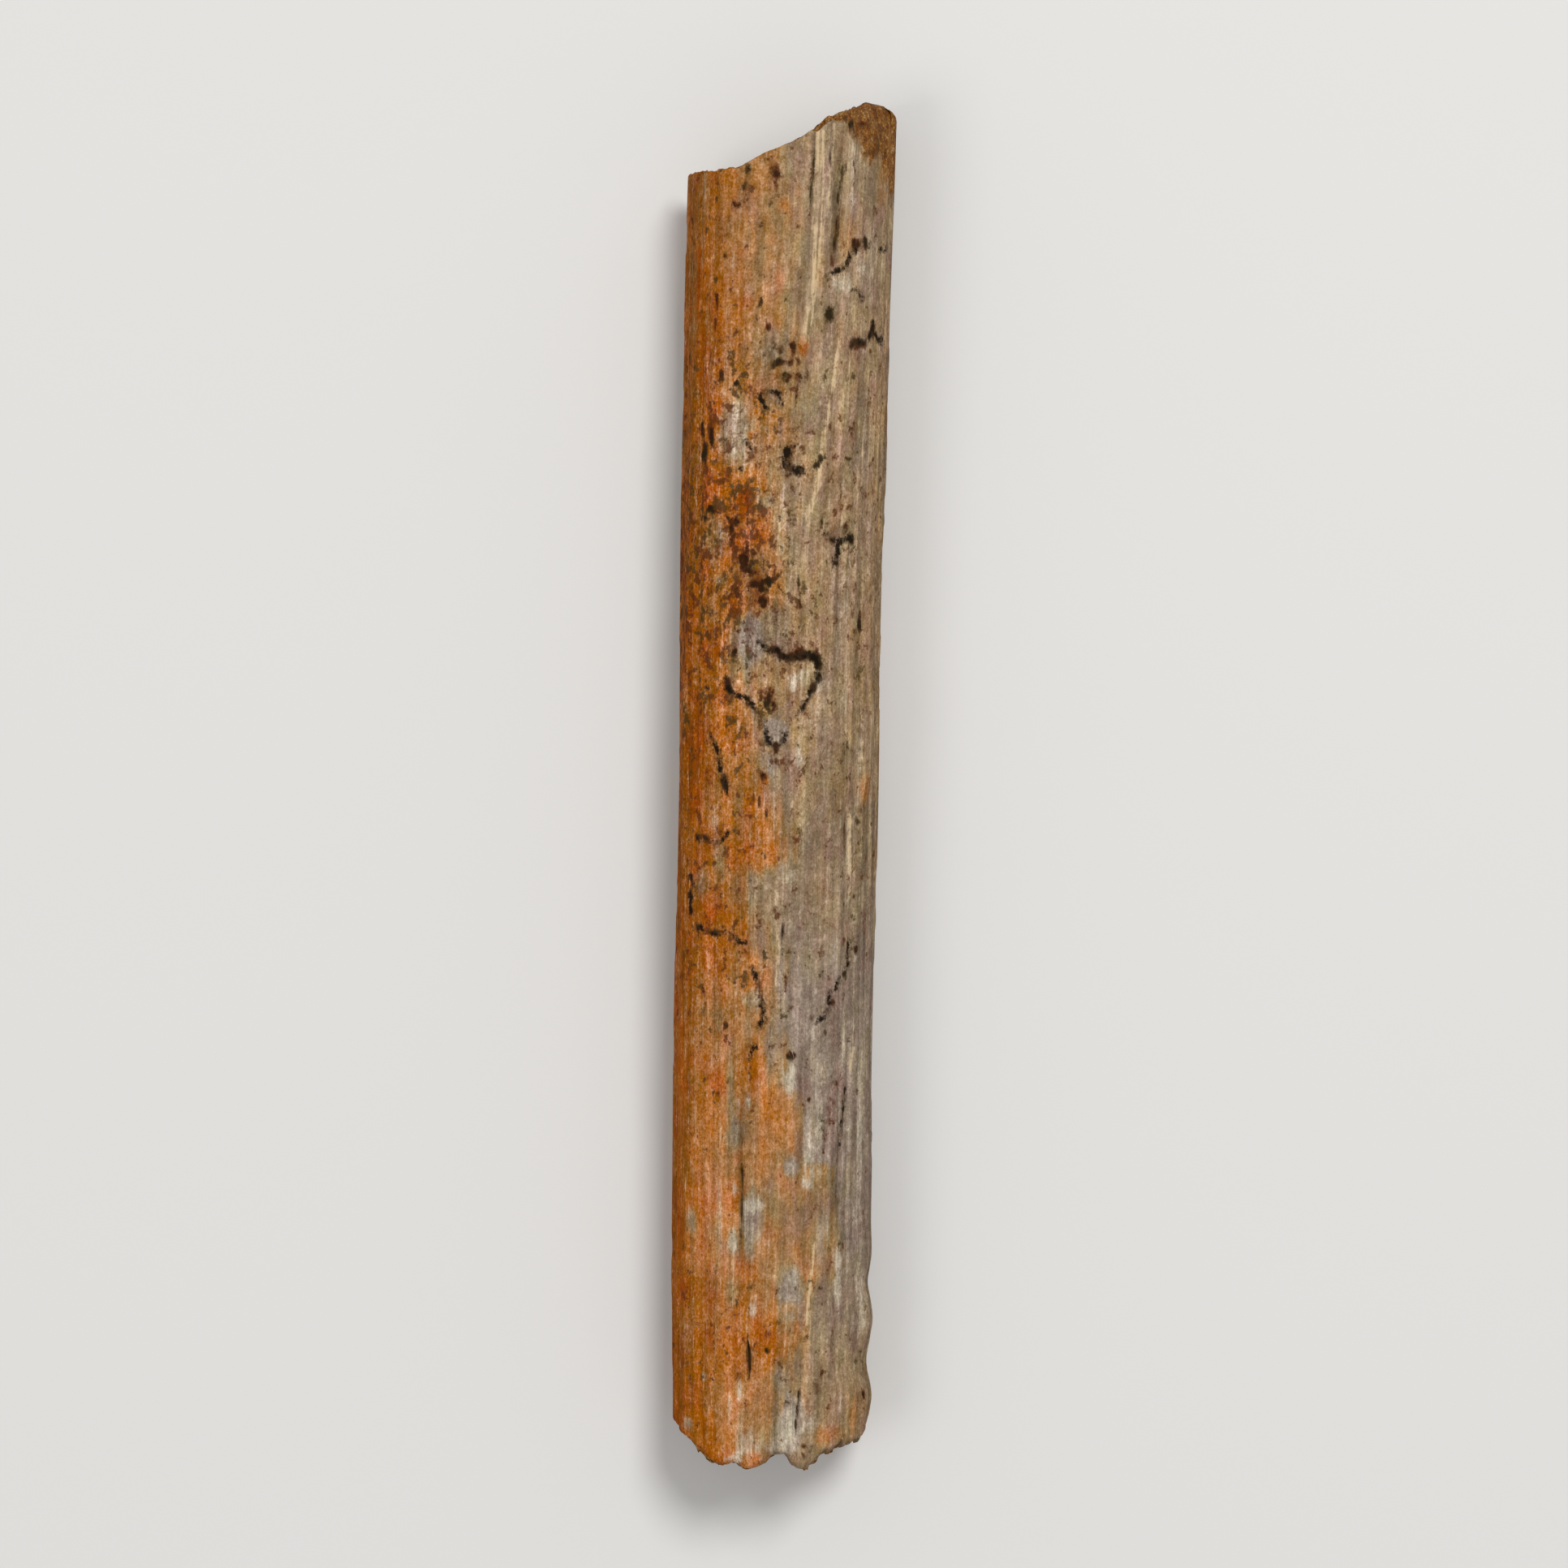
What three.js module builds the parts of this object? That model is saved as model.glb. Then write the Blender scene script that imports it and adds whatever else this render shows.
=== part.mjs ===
// A broken length of fossil dinosaur tendon, lying on its flatter side.
// It is one solid: a gently bowed, slightly tapering rod of mineralised fibre, fluted along its length.
// Its upper end is an oblique break with a chipped, rounded shoulder, and its lower end is frayed into lobes.
//
// Millimetres. +Y runs along the rod towards the oblique end, +X across it and +Z up.
// The origin is the middle of the footprint, on the surface that the rod lies on.
import * as THREE from "three";

// ---- Driving dimensions ----
const LENGTH = 75.2; // tip to tip, over both broken ends
const HALF_LENGTH = LENGTH / 2;
const HALF_WIDTH = 5.53; // at mid length
const WIDTH_TAPER = 0.005; // half width gained per millimetre towards the oblique end
const THICKNESS = 8.1; // at mid length, before the sole is flattened
const THICKNESS_TAPER = 0.008; // thickness gained per millimetre towards the oblique end
const SOLE_DEPTH = 0.28; // worn off the underside, down to the flat that the rod lies on
const SQUARENESS = 2.35; // exponent of the cross-section: 2 is an ellipse, more is squarer
const BOW = { offset: -0.43, lean: 0.0176, curve: 0.0002 }; // the middle line's x over y

// The oblique break, as its outline [x, y] seen from above, and how its face falls back from that.
const TOP_BREAK = {
  outline: [
    [-5.7, 34.8], [-5.2, 34.4], [-4.6, 33.95], [-3.62, 33.66], [-2.72, 33.74], [-2.05, 33.98], [-0.99, 34.52],
    [0.08, 34.94], [1.14, 35.5], [1.95, 36.25], [2.48, 36.68], [3.28, 37], [4.35, 37.36],
    [4.9, HALF_LENGTH], [5.5, HALF_LENGTH], [6.2, 37.4],
  ],
  fallback: 1.5, // how far the face has fallen back at the sole
  shoulderFallback: 0.25,
  fallbackPower: 1.4,
  ledge: 0.8, // the outermost layer stops this much short in front of the highest part of the face
  ledgeSpan: [1.4, 2, 3.3, 3.9], // across the rod: from, full, full, to
  ledgeLevels: [0.8, 0.93], // through the thickness, as shares of it
  hackle: 0.24, // roughness of the torn face
  edge: 0.12, // radius of the sharp part of the edge
  shoulderEdge: 0.62, // radius at the worn shoulder
  shoulderSpan: [3.2, 5],
};

// The frayed end in the same terms. Its lobes drift sideways through the thickness.
const FOOT_BREAK = {
  outline: [
    [-6.3, -35.2], [-5.85, -35.7], [-5.3, -36], [-4.99, -36.2], [-4.46, -37], [-3.92, -37.4],
    [-3.39, -37.5], [-2.86, -37.35], [-2.1, -HALF_LENGTH], [-1.5, -37.5], [-0.99, -37.25], [-0.6, -36.9],
    [0.1, -36.8], [0.42, -37.3], [1.03, -HALF_LENGTH], [1.68, -37.5], [2.1, -37.1], [2.9, -36.85],
    [3.6, -36.6], [4.35, -36.45], [4.8, -36.2], [5.1, -35.6],
  ],
  fallback: 1.3,
  fallbackPower: 1.6,
  drift: 0.9,
  hackle: 0.32,
  edge: 0.4,
};

// The chip that bevels the shoulder: it starts on the line from inner to outer [x, y] and falls away to the tip.
const CHIP = { inner: [3.4, 35.9], outer: [6, 33.2], slope: 0.42, blend: 0.5 };

// Single fibres that stand proud of the upper side (height over 0) or have come away from it (under 0).
// Each runs along its path of [x, y] points and fades out at both ends.
const STRANDS = [
  { height: 0.24, half: 0.34, path: [[2.08, 37.5], [1.86, 32.3], [1.55, 27.5], [1.1, 23.2]] },
  { height: -0.3, half: 0.4, path: [[2.75, 37.5], [2.85, 32], [2.7, 27.5]] },
  { height: 0.2, half: 0.32, path: [[3.45, 36.6], [3.42, 31.9], [3.15, 28.5]] },
  { height: 0.14, half: 0.28, path: [[3.3, 25], [2.75, 21.2], [2.2, 17.2]] },
  { height: 0.14, half: 0.3, path: [[3.95, 24], [3.5, 20.8], [3, 16.8]] },
  { height: 0.14, half: 0.28, path: [[2, 18], [1.5, 15], [1, 12], [0.95, 8.5]] },
  { height: 0.16, half: 0.34, path: [[4.9, 5], [4.66, 1.2], [4.1, -1.9], [3.85, -7]] },
  { height: -0.16, half: 0.34, path: [[3.8, 0], [3.6, -5.5]] },
  { height: -0.14, half: 0.34, path: [[0.03, -6], [-0.1, -11.5]] },
  { height: -0.2, half: 0.36, path: [[-2.72, -16], [-2.35, -21], [-2.32, -26], [-2.55, -29.5]] },
  { height: -0.2, half: 0.3, path: [[-1.92, -30], [-1.8, -33]] },
  { height: -0.2, half: 0.34, path: [[1.05, -29.8], [0.88, -33], [0.6, -36.8]] },
  { height: 0.14, half: 0.32, path: [[1.45, -26], [1, -31]] },
  { height: -0.16, half: 0.4, path: [[2.95, -21], [2.8, -30]] },
];
const STRAND_FADE = 1.6; // length over which a strand rises from nothing
const UPPER_SIDE = [0.05, 0.45]; // sine of the angle round the rod over which the strands and the chip come in

// Shallow waves all round: cycles round the rod, depth, turns that they drift along it, phase.
const FLUTES = [
  { cycles: 2, depth: 0.1, drift: 0.3, phase: 2.5 },
  { cycles: 3, depth: 0.12, drift: -0.2, phase: 0.9 },
  { cycles: 5, depth: 0.07, drift: 0.35, phase: 0.6 },
  { cycles: 11, depth: 0.05, drift: -0.5, phase: 2.1 },
  { cycles: 17, depth: 0.045, drift: 0.8, phase: 4.4 },
];

// Flakes lost from the right flank near the frayed end: where along the rod, shift outwards, half length.
const FLANK_SCALLOPS = [
  { y: -25.8, shift: 0.07, half: 1 },
  { y: -27.6, shift: -0.13, half: 0.7 },
  { y: -29.6, shift: 0.16, half: 1 },
  { y: -32, shift: -0.17, half: 0.9 },
  { y: -33.9, shift: 0.15, half: 0.9 },
];
const SCALLOP_FACING = [0.5, 0.95]; // cosine of the angle round the rod over which they come in

// ---- Mesh density ----
const COLUMNS = 84;
const UPPER_SIDE_BIAS = 0.3; // crowds the columns towards the upper side
const CAP_RINGS = 5;
// Stretches of rows: up to this distance from the frayed end, at this spacing.
const ROW_STRETCHES = [
  { reach: 0.45, step: 0.15 },
  { reach: 11, step: 0.72 },
  { reach: 62, step: 3.6 },
  { reach: LENGTH - 0.45, step: 1.05 },
  { reach: LENGTH, step: 0.15 },
];
const END_PROBE = 2; // each column's end is looked up where it passes this far from the tip

// ---- Small helpers ----
const clamp01 = (v) => Math.min(1, Math.max(0, v));
const bell = (v) => Math.exp(-v * v);
function smooth(from, to, v) {
  const t = clamp01((v - from) / (to - from));
  return t * t * (3 - 2 * t);
}
const plateau = ([from, full, fullEnd, to], v) => smooth(from, full, v) * smooth(to, fullEnd, v);
// A knobbly pattern between -1 and 1, with knobs about 2 mm across.
const waves = (x, z) => Math.sin(2.6 * x + 1.7 * z) * Math.sin(1.9 * z - 1.4 * x + 0.8);

// The value at a key, on a smooth curve without overshoot through [key, value] points sorted by key.
function along(points, key) {
  const last = points.length - 1;
  if (key <= points[0][0]) return points[0][1];
  if (key >= points[last][0]) return points[last][1];
  const slope = (i) => (points[i + 1][1] - points[i][1]) / (points[i + 1][0] - points[i][0]);
  const tangent = (i) => {
    if (i === 0 || i === last) return 0;
    const product = slope(i - 1) * slope(i);
    return product <= 0 ? 0 : (2 * product) / (slope(i - 1) + slope(i));
  };
  const k = points.findIndex((point) => point[0] > key) - 1;
  const span = points[k + 1][0] - points[k][0];
  const t = (key - points[k][0]) / span;
  const line = points[k][1] + (points[k + 1][1] - points[k][1]) * t * t * (3 - 2 * t);
  return line + span * t * (1 - t) * ((1 - t) * tangent(k) - t * tangent(k + 1));
}

// ---- The rod ----
const middleX = (y) => BOW.offset + BOW.lean * y + BOW.curve * y * y;
const halfWidth = (y) => HALF_WIDTH + WIDTH_TAPER * y;
const thickness = (y) => THICKNESS + THICKNESS_TAPER * y;
const middleZ = (y) => thickness(y) / 2 - SOLE_DEPTH;

function strandRelief(x, y) {
  return STRANDS.reduce((sum, { height, half, path }) => {
    const upwards = path.map(([px, py]) => [py, px]).reverse();
    const [start, end] = [upwards[0][0], upwards[upwards.length - 1][0]];
    const fade = plateau([start, start + STRAND_FADE, end - STRAND_FADE, end], y);
    return sum + height * fade * bell((x - along(upwards, y)) / half);
  }, 0);
}

function fluteRelief(angle, y) {
  const turns = (2 * Math.PI * y) / LENGTH;
  return FLUTES.reduce((sum, f) => sum + f.depth * Math.cos(f.cycles * angle + f.drift * turns + f.phase), 0);
}

function scallopRelief(angle, y) {
  const facing = smooth(...SCALLOP_FACING, Math.cos(angle));
  return facing * FLANK_SCALLOPS.reduce((sum, flake) => sum + flake.shift * bell((y - flake.y) / flake.half), 0);
}

function chipDepth(x, y) {
  const { inner, outer, slope, blend } = CHIP;
  const start = inner[1] + ((outer[1] - inner[1]) * (x - inner[0])) / (outer[0] - inner[0]);
  return slope * Math.max(0, y - start) * smooth(inner[0] - blend, inner[0] + blend, x);
}

// A point of the rod's wall, drawn in by inset. The angle is 0 at the right flank and a quarter turn on top.
function wall(angle, y, inset) {
  const [c, s] = [Math.cos(angle), Math.sin(angle)];
  const reach = (Math.abs(c) ** SQUARENESS + Math.abs(s) ** SQUARENESS) ** (-1 / SQUARENESS);
  const [a, b] = [halfWidth(y), thickness(y) / 2];
  const [x, z] = [a * c * reach, b * s * reach];
  const upper = smooth(...UPPER_SIDE, s);
  const relief = fluteRelief(angle, y) + scallopRelief(angle, y) + upper * strandRelief(middleX(y) + x, y);
  const normal = new THREE.Vector2(x / (a * a), z / (b * b)).normalize();
  const outX = middleX(y) + x + normal.x * (relief - inset);
  const outZ = middleZ(y) + z + normal.y * (relief - inset) - upper * chipDepth(outX, y);
  return new THREE.Vector3(outX, y, Math.max(0, outZ));
}

// ---- The broken ends: y of the torn face over a place in the cross-section ----
function topFace(x, z) {
  const level = clamp01(z / thickness(HALF_LENGTH));
  const worn = smooth(...TOP_BREAK.shoulderSpan, x);
  const fallback = TOP_BREAK.fallback + (TOP_BREAK.shoulderFallback - TOP_BREAK.fallback) * worn;
  const fallen = fallback * (1 - level) ** TOP_BREAK.fallbackPower;
  const ledge = TOP_BREAK.ledge * plateau(TOP_BREAK.ledgeSpan, x) * smooth(...TOP_BREAK.ledgeLevels, level);
  return along(TOP_BREAK.outline, x) - fallen - ledge - (TOP_BREAK.hackle * (1 + waves(x, z)) * (1 - level)) / 2;
}

function footFace(x, z) {
  const level = clamp01(z / thickness(-HALF_LENGTH));
  const fallen = FOOT_BREAK.fallback * (1 - level) ** FOOT_BREAK.fallbackPower;
  const rough = (FOOT_BREAK.hackle * (1 + waves(x, z)) * (1 - level)) / 2;
  return along(FOOT_BREAK.outline, x + FOOT_BREAK.drift * (1 - level) ** 2) + fallen + rough;
}

// How far the wall has drawn in, this far from an end whose edge has this radius.
function edgeInset(radius, distance) {
  const left = clamp01(1 - distance / radius);
  return radius * (1 - Math.sqrt(1 - left * left));
}

function topEdge(x) {
  const worn = smooth(...TOP_BREAK.shoulderSpan, x);
  return TOP_BREAK.edge + (TOP_BREAK.shoulderEdge - TOP_BREAK.edge) * worn;
}

// ---- Mesh ----
// Where the rows lie, as shares of each column's length.
function rowShares() {
  const rows = [0];
  for (const { reach, step } of ROW_STRETCHES) {
    const from = rows[rows.length - 1];
    const count = Math.round((reach - from) / step);
    for (let i = 1; i <= count; i++) rows.push(from + ((reach - from) * i) / count);
  }
  return rows.map((distance) => distance / LENGTH);
}

function columnAngle(j) {
  const turn = (2 * Math.PI * j) / COLUMNS;
  return turn + UPPER_SIDE_BIAS * Math.cos(turn);
}

// One line of wall points, from the frayed end to the oblique one.
function column(angle, shares) {
  const nearFoot = wall(angle, END_PROBE - HALF_LENGTH, 0);
  const nearTop = wall(angle, HALF_LENGTH - END_PROBE, 0);
  const from = footFace(nearFoot.x, nearFoot.z);
  const to = topFace(nearTop.x, nearTop.z);
  return shares.map((share) => {
    const y = from + (to - from) * share;
    const inset = edgeInset(FOOT_BREAK.edge, y - from) + edgeInset(topEdge(nearTop.x), to - y);
    return wall(angle, y, inset);
  });
}

// Rings that shrink from the edge of a broken end to its middle point, on the torn face.
function capRings(edge, middleY, face) {
  const middle = new THREE.Vector3(middleX(middleY), 0, middleZ(middleY));
  const onFace = (point) => point.setY(face(point.x, point.z));
  const rings = [];
  for (let k = 1; k < CAP_RINGS; k++) {
    rings.push(edge.map((point) => onFace(point.clone().lerp(middle, k / CAP_RINGS))));
  }
  return { rings, middle: onFace(middle) };
}

function tendonGeometry() {
  const shares = rowShares();
  const columns = Array.from({ length: COLUMNS }, (_, j) => column(columnAngle(j), shares));
  const rows = shares.map((_, i) => columns.map((points) => points[i]));
  const foot = capRings(rows[0], -HALF_LENGTH, footFace);
  const top = capRings(rows[rows.length - 1], HALF_LENGTH, topFace);
  const rings = [...foot.rings.reverse(), ...rows, ...top.rings];
  const points = [...rings.flat(), foot.middle, top.middle];
  const [footMiddle, topMiddle] = [points.length - 2, points.length - 1];
  const lastRing = (rings.length - 1) * COLUMNS;

  const faces = [];
  for (let j = 0; j < COLUMNS; j++) {
    const next = (j + 1) % COLUMNS;
    for (let low = 0; low < lastRing; low += COLUMNS) {
      const high = low + COLUMNS;
      faces.push(low + j, high + j, high + next, low + j, high + next, low + next);
    }
    faces.push(footMiddle, j, next, topMiddle, lastRing + next, lastRing + j);
  }
  const geometry = new THREE.BufferGeometry().setFromPoints(points).setIndex(faces);
  geometry.computeBoundingBox();
  const { min, max } = geometry.boundingBox;
  geometry.translate(-(min.x + max.x) / 2, -(min.y + max.y) / 2, -min.z);
  geometry.computeVertexNormals();
  return geometry;
}

const fossilBone = new THREE.MeshStandardMaterial({ color: 0x936e4b, roughness: 0.72, metalness: 0 });
const tendon = new THREE.Mesh(tendonGeometry(), fossilBone);
tendon.name = "tendon";

const group = new THREE.Group();
group.add(tendon);
export default group;
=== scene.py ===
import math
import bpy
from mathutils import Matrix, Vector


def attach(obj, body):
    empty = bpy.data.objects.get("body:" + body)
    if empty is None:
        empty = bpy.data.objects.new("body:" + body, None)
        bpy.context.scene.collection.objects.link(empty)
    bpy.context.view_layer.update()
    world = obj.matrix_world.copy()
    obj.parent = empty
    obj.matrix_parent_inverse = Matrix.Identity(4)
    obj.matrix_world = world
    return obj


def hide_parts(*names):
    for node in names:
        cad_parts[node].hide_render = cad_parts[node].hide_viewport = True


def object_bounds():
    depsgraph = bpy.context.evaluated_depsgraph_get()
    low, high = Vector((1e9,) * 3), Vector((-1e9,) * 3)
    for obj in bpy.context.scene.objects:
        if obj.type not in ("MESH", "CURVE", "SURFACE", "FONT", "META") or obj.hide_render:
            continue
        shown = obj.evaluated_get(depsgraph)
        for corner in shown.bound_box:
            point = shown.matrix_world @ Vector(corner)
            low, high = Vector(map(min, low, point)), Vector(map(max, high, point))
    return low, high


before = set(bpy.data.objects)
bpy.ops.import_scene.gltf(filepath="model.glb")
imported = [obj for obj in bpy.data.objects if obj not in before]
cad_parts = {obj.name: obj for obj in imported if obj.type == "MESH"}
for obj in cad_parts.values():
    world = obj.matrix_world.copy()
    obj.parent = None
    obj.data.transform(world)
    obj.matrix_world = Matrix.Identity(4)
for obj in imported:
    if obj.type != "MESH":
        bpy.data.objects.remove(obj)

# A broken length of fossil dinosaur tendon, lying on its flatter side on a pale floor and seen from above.
#
# Lengths here are millimetres, in the frame of the CAD solid: +Y runs along the rod towards its oblique
# end, +X across it and +Z up. They become metres where a mesh, lamp or camera is made. The rod's form
# repeats the solid's, apart from a slightly shallower ledge below the oblique break. The fibres, the thin
# outer layer, pits, cracks, torn ends and colours are added to it.
from types import SimpleNamespace

import bpy
import numpy as np
from mathutils import Vector

CAD_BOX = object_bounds()
MM = 0.001

# ---- The rod's form, as in the solid apart from the ledge's depth and the torn fibres of the ends ----
LENGTH = 75.2
HALF_LENGTH = LENGTH / 2
HALF_WIDTH = 5.53
WIDTH_TAPER = 0.005
THICKNESS = 8.1
THICKNESS_TAPER = 0.008
SOLE_DEPTH = 0.28
SQUARENESS = 2.35
BOW = {"offset": -0.43, "lean": 0.0176, "curve": 0.0002}

TOP_BREAK = {
    "outline": [
        (-5.7, 34.8), (-5.2, 34.4), (-4.6, 33.95), (-3.62, 33.66), (-2.72, 33.74), (-2.05, 33.98),
        (-0.99, 34.52), (0.08, 34.94), (1.14, 35.5), (1.95, 36.25), (2.48, 36.68), (3.28, 37),
        (4.35, 37.36), (4.9, HALF_LENGTH), (5.5, HALF_LENGTH), (6.2, 37.4),
    ],
    "fallback": 1.5,
    "shoulder_fallback": 0.25,
    "fallback_power": 1.4,
    "ledge": 0.5,
    "ledge_span": (1.4, 2, 3.3, 3.9),
    "ledge_levels": (0.8, 0.93),
    "hackle": 0.24,
    "torn": 0.24,
    "torn_at_rim": 0.15,
    "edge": 0.12,
    "shoulder_edge": 0.62,
    "shoulder_span": (3.2, 5),
    "shoulder_wear": 0.95,
}
FOOT_BREAK = {
    "outline": [
        (-6.3, -35.2), (-5.85, -35.7), (-5.3, -36), (-4.99, -36.2), (-4.46, -37), (-3.92, -37.4),
        (-3.39, -37.5), (-2.86, -37.35), (-2.1, -HALF_LENGTH), (-1.5, -37.5), (-0.99, -37.25), (-0.6, -36.9),
        (0.1, -36.8), (0.42, -37.3), (1.03, -HALF_LENGTH), (1.68, -37.5), (2.1, -37.1), (2.9, -36.85),
        (3.6, -36.6), (4.35, -36.45), (4.8, -36.2), (5.1, -35.6),
    ],
    "fallback": 1.3,
    "fallback_power": 1.6,
    "drift": 0.9,
    "hackle": 0.32,
    "torn": 0.3,
    "torn_at_rim": 0.2,
    "edge": 0.4,
}
CHIP = {"inner": (3.4, 35.9), "outer": (6, 33.2), "slope": 0.42, "blend": 0.5}

# Each strand: height over the surface, half width, path.
STRANDS = [
    (0.24, 0.34, [(2.08, 37.5), (1.86, 32.3), (1.55, 27.5), (1.1, 23.2)]),
    (-0.2, 0.26, [(2.75, 37.5), (2.85, 32), (2.7, 27.5)]),
    (0.2, 0.32, [(3.45, 36.6), (3.42, 31.9), (3.15, 28.5)]),
    (0.14, 0.28, [(3.3, 25), (2.75, 21.2), (2.2, 17.2)]),
    (0.14, 0.3, [(3.95, 24), (3.5, 20.8), (3, 16.8)]),
    (0.14, 0.28, [(2, 18), (1.5, 15), (1, 12), (0.95, 8.5)]),
    (0.16, 0.34, [(4.9, 5), (4.66, 1.2), (4.1, -1.9), (3.85, -7)]),
    (-0.16, 0.34, [(3.8, 0), (3.6, -5.5)]),
    (-0.14, 0.34, [(0.03, -6), (-0.1, -11.5)]),
    (-0.14, 0.3, [(-2.72, -16), (-2.35, -21), (-2.32, -26), (-2.55, -29.5)]),
    (-0.2, 0.3, [(-1.92, -30), (-1.8, -33)]),
    (-0.15, 0.26, [(1.05, -29.8), (0.88, -33), (0.6, -36.8)]),
    (0.14, 0.32, [(1.45, -26), (1, -31)]),
    (-0.16, 0.4, [(2.95, -21), (2.8, -30)]),
]
STRAND_FADE = 1.6
UPPER_SIDE = (0.05, 0.45)  # sines of the angle round the rod between which the strands and the chip begin

# Shallow waves all round: cycles, depth, turns that they drift along the rod, phase.
FLUTES = [
    (2, 0.1, 0.3, 2.5), (3, 0.12, -0.2, 0.9), (5, 0.07, 0.35, 0.6), (11, 0.05, -0.5, 2.1),
    (17, 0.045, 0.8, 4.4),
]

# Flakes lost from the right flank: place along the rod, shift outwards, half length.
FLANK_SCALLOPS = [
    (-25.8, 0.07, 1), (-27.6, -0.13, 0.7), (-29.6, 0.16, 1), (-32, -0.17, 0.9), (-33.9, 0.15, 0.9),
]
SCALLOP_FACING = (0.5, 0.95)  # cosines of the angle between which they begin

# ---- Fine relief, on top of the solid's form ----
# Fibre bundles that run the whole length: width and length of a bundle, relief.
FIBRES = [(1.3, 26, 0.03), (0.62, 17, 0.034), (0.34, 11, 0.026), (0.24, 7, 0.014)]
# Fibres swing to the right towards each end: how far, from where to where along the rod, the place across
# the surface where they swing most, and how wide that reaches.
FIBRE_SWINGS = [(0.9, 6, 38, 1.5, 4), (-0.5, -22, -37, 1, 2.5)]
# The thin outer layer, lost in patches: the surface steps up where these ripples pass each level.
LAMELLA = {
    "ripples": [(1, 1.5, 11, 21), (0.5, 0.5, 2.2, 22), (0.25, 0.25, 0.9, 23)],
    "levels": [(-0.08, 0.08), (0.42, 0.56)],
    "step": 0.04,
}
# Pits, where the product of two ripples passes these levels.
PITS = {"ripples": [(0.4, 1.2, 31), (0.3, 0.5, 32)], "levels": (0.42, 0.7), "depth": 0.06}

# Fibre bundles that stand out of a torn end: how far, their size, seed.
TORN_BUNDLES = [(0.5, 1.1, 41), (0.35, 0.55, 42), (0.2, 0.28, 43)]
BUNDLE_CELLS = 64
BUNDLE_DOME = 0.35  # how much lower a bundle is at its edge than in its middle
RIM_LEVELS = (1, 0.86)  # a torn end is calmer between these shares of the rod's height

# Open cracks: half width, depth, path.
CRACKS = [
    (0.06, 0.3, [(1.72, 34.8), (1.68, 34.1), (1.55, 32.8), (1.43, 31.3)]),
    (0.06, 0.3, [(2.6, 34.9), (2.56, 33.6)]),
    (0.05, 0.3, [(3.25, 34.2), (3.15, 33.2), (3.05, 32.2), (3.02, 31.2)]),
    (0.06, 0.3, [(3.05, 31.5), (2.95, 30.3), (2.75, 28.7)]),
    (0.08, 0.3, [(0.03, -7.22), (-0.01, -7.89), (-0.1, -8.56), (-0.14, -8.91)]),
    (0.045, 0.2, [(-2.34, -20.5), (-2.26, -22.3), (-2.36, -24), (-2.4, -25.8)]),
    (0.1, 0.45, [(-1.97, -30.1), (-1.92, -31.32), (-1.88, -32.8)]),
    (0.05, 0.3, [(0.97, -31.68), (0.92, -32.66)]),
    (0.055, 0.3, [(0.99, -32.6), (0.88, -33.7), (0.74, -34.6), (0.62, -36)]),
    (0.05, 0.25, [(1.46, -26.88), (1.32, -27.68), (1.23, -28.21)]),
]
CRACK_TAPER = 0.9

# ---- Mesh density ----
COLUMNS = 236
UNDERSIDE_SHARE = 0.5  # how densely columns lie on the lower half, against the upper half
UNDERSIDE_LEVEL = -0.15  # the lower half starts where the sine of the angle is this
GIRTH_POINTS = 2881  # where the girth is measured: one more than a multiple of 4
ROW_STEP = 0.225
EDGE_ROWS = (0.4, 0.08)  # within this distance of a broken end, rows lie this close
CAP_RINGS = 28
CAP_CROWDING = 1.25  # over 1 crowds a broken end's rings towards its rim
END_PROBE = 2  # a broken end's height over the rim is read from the wall this far inside it
CAP_STRIP = 0.13  # share of the bake's map that the broken ends take
CAP_SPAN = 70  # millimetres that the bake's map would span at the broken ends' scale
CAP_SHIFT = 0.2  # how far each broken end's island lies from the middle of the map
CAP_MARGIN = 0.004  # free space below the islands
WALL_MARGIN = 1  # millimetres left free on the map past each end of the wall


# ---- Small helpers ----
def smooth(start, end, v):
    t = np.clip((v - start) / (end - start), 0, 1)
    return t * t * (3 - 2 * t)


def bell(v):
    return np.exp(-v * v)


def plateau(span, v):
    return smooth(span[0], span[1], v) * smooth(span[3], span[2], v)


def blend(start, end, share):
    return start + (end - start) * share


def along(points, key):
    """The value at a key, on a smooth curve without overshoot through (key, value) points sorted by key."""
    keys, values = np.array(points, float).T
    slope = np.diff(values) / np.diff(keys)
    product = slope[:-1] * slope[1:]
    both = np.where(product > 0, slope[:-1] + slope[1:], 1)
    tangent = np.zeros(len(keys))
    tangent[1:-1] = np.where(product > 0, 2 * product / both, 0)
    k = np.clip(np.searchsorted(keys, key, side="right") - 1, 0, len(keys) - 2)
    span = keys[k + 1] - keys[k]
    t = np.clip((key - keys[k]) / span, 0, 1)
    line = values[k] + (values[k + 1] - values[k]) * t * t * (3 - 2 * t)
    return line + span * t * (1 - t) * ((1 - t) * tangent[k] - t * tangent[k + 1])


# ---- The rod ----
def middle_x(y):
    return BOW["offset"] + BOW["lean"] * y + BOW["curve"] * y * y


def half_width(y):
    return HALF_WIDTH + WIDTH_TAPER * y


def thickness(y):
    return THICKNESS + THICKNESS_TAPER * y


def middle_z(y):
    return thickness(y) / 2 - SOLE_DEPTH


def section(angle, y):
    """The plain cross-section round its own middle, as (x, z)."""
    c, s = np.cos(angle), np.sin(angle)
    reach = (np.abs(c) ** SQUARENESS + np.abs(s) ** SQUARENESS) ** (-1 / SQUARENESS)
    return half_width(y) * c * reach, thickness(y) / 2 * s * reach


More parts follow.
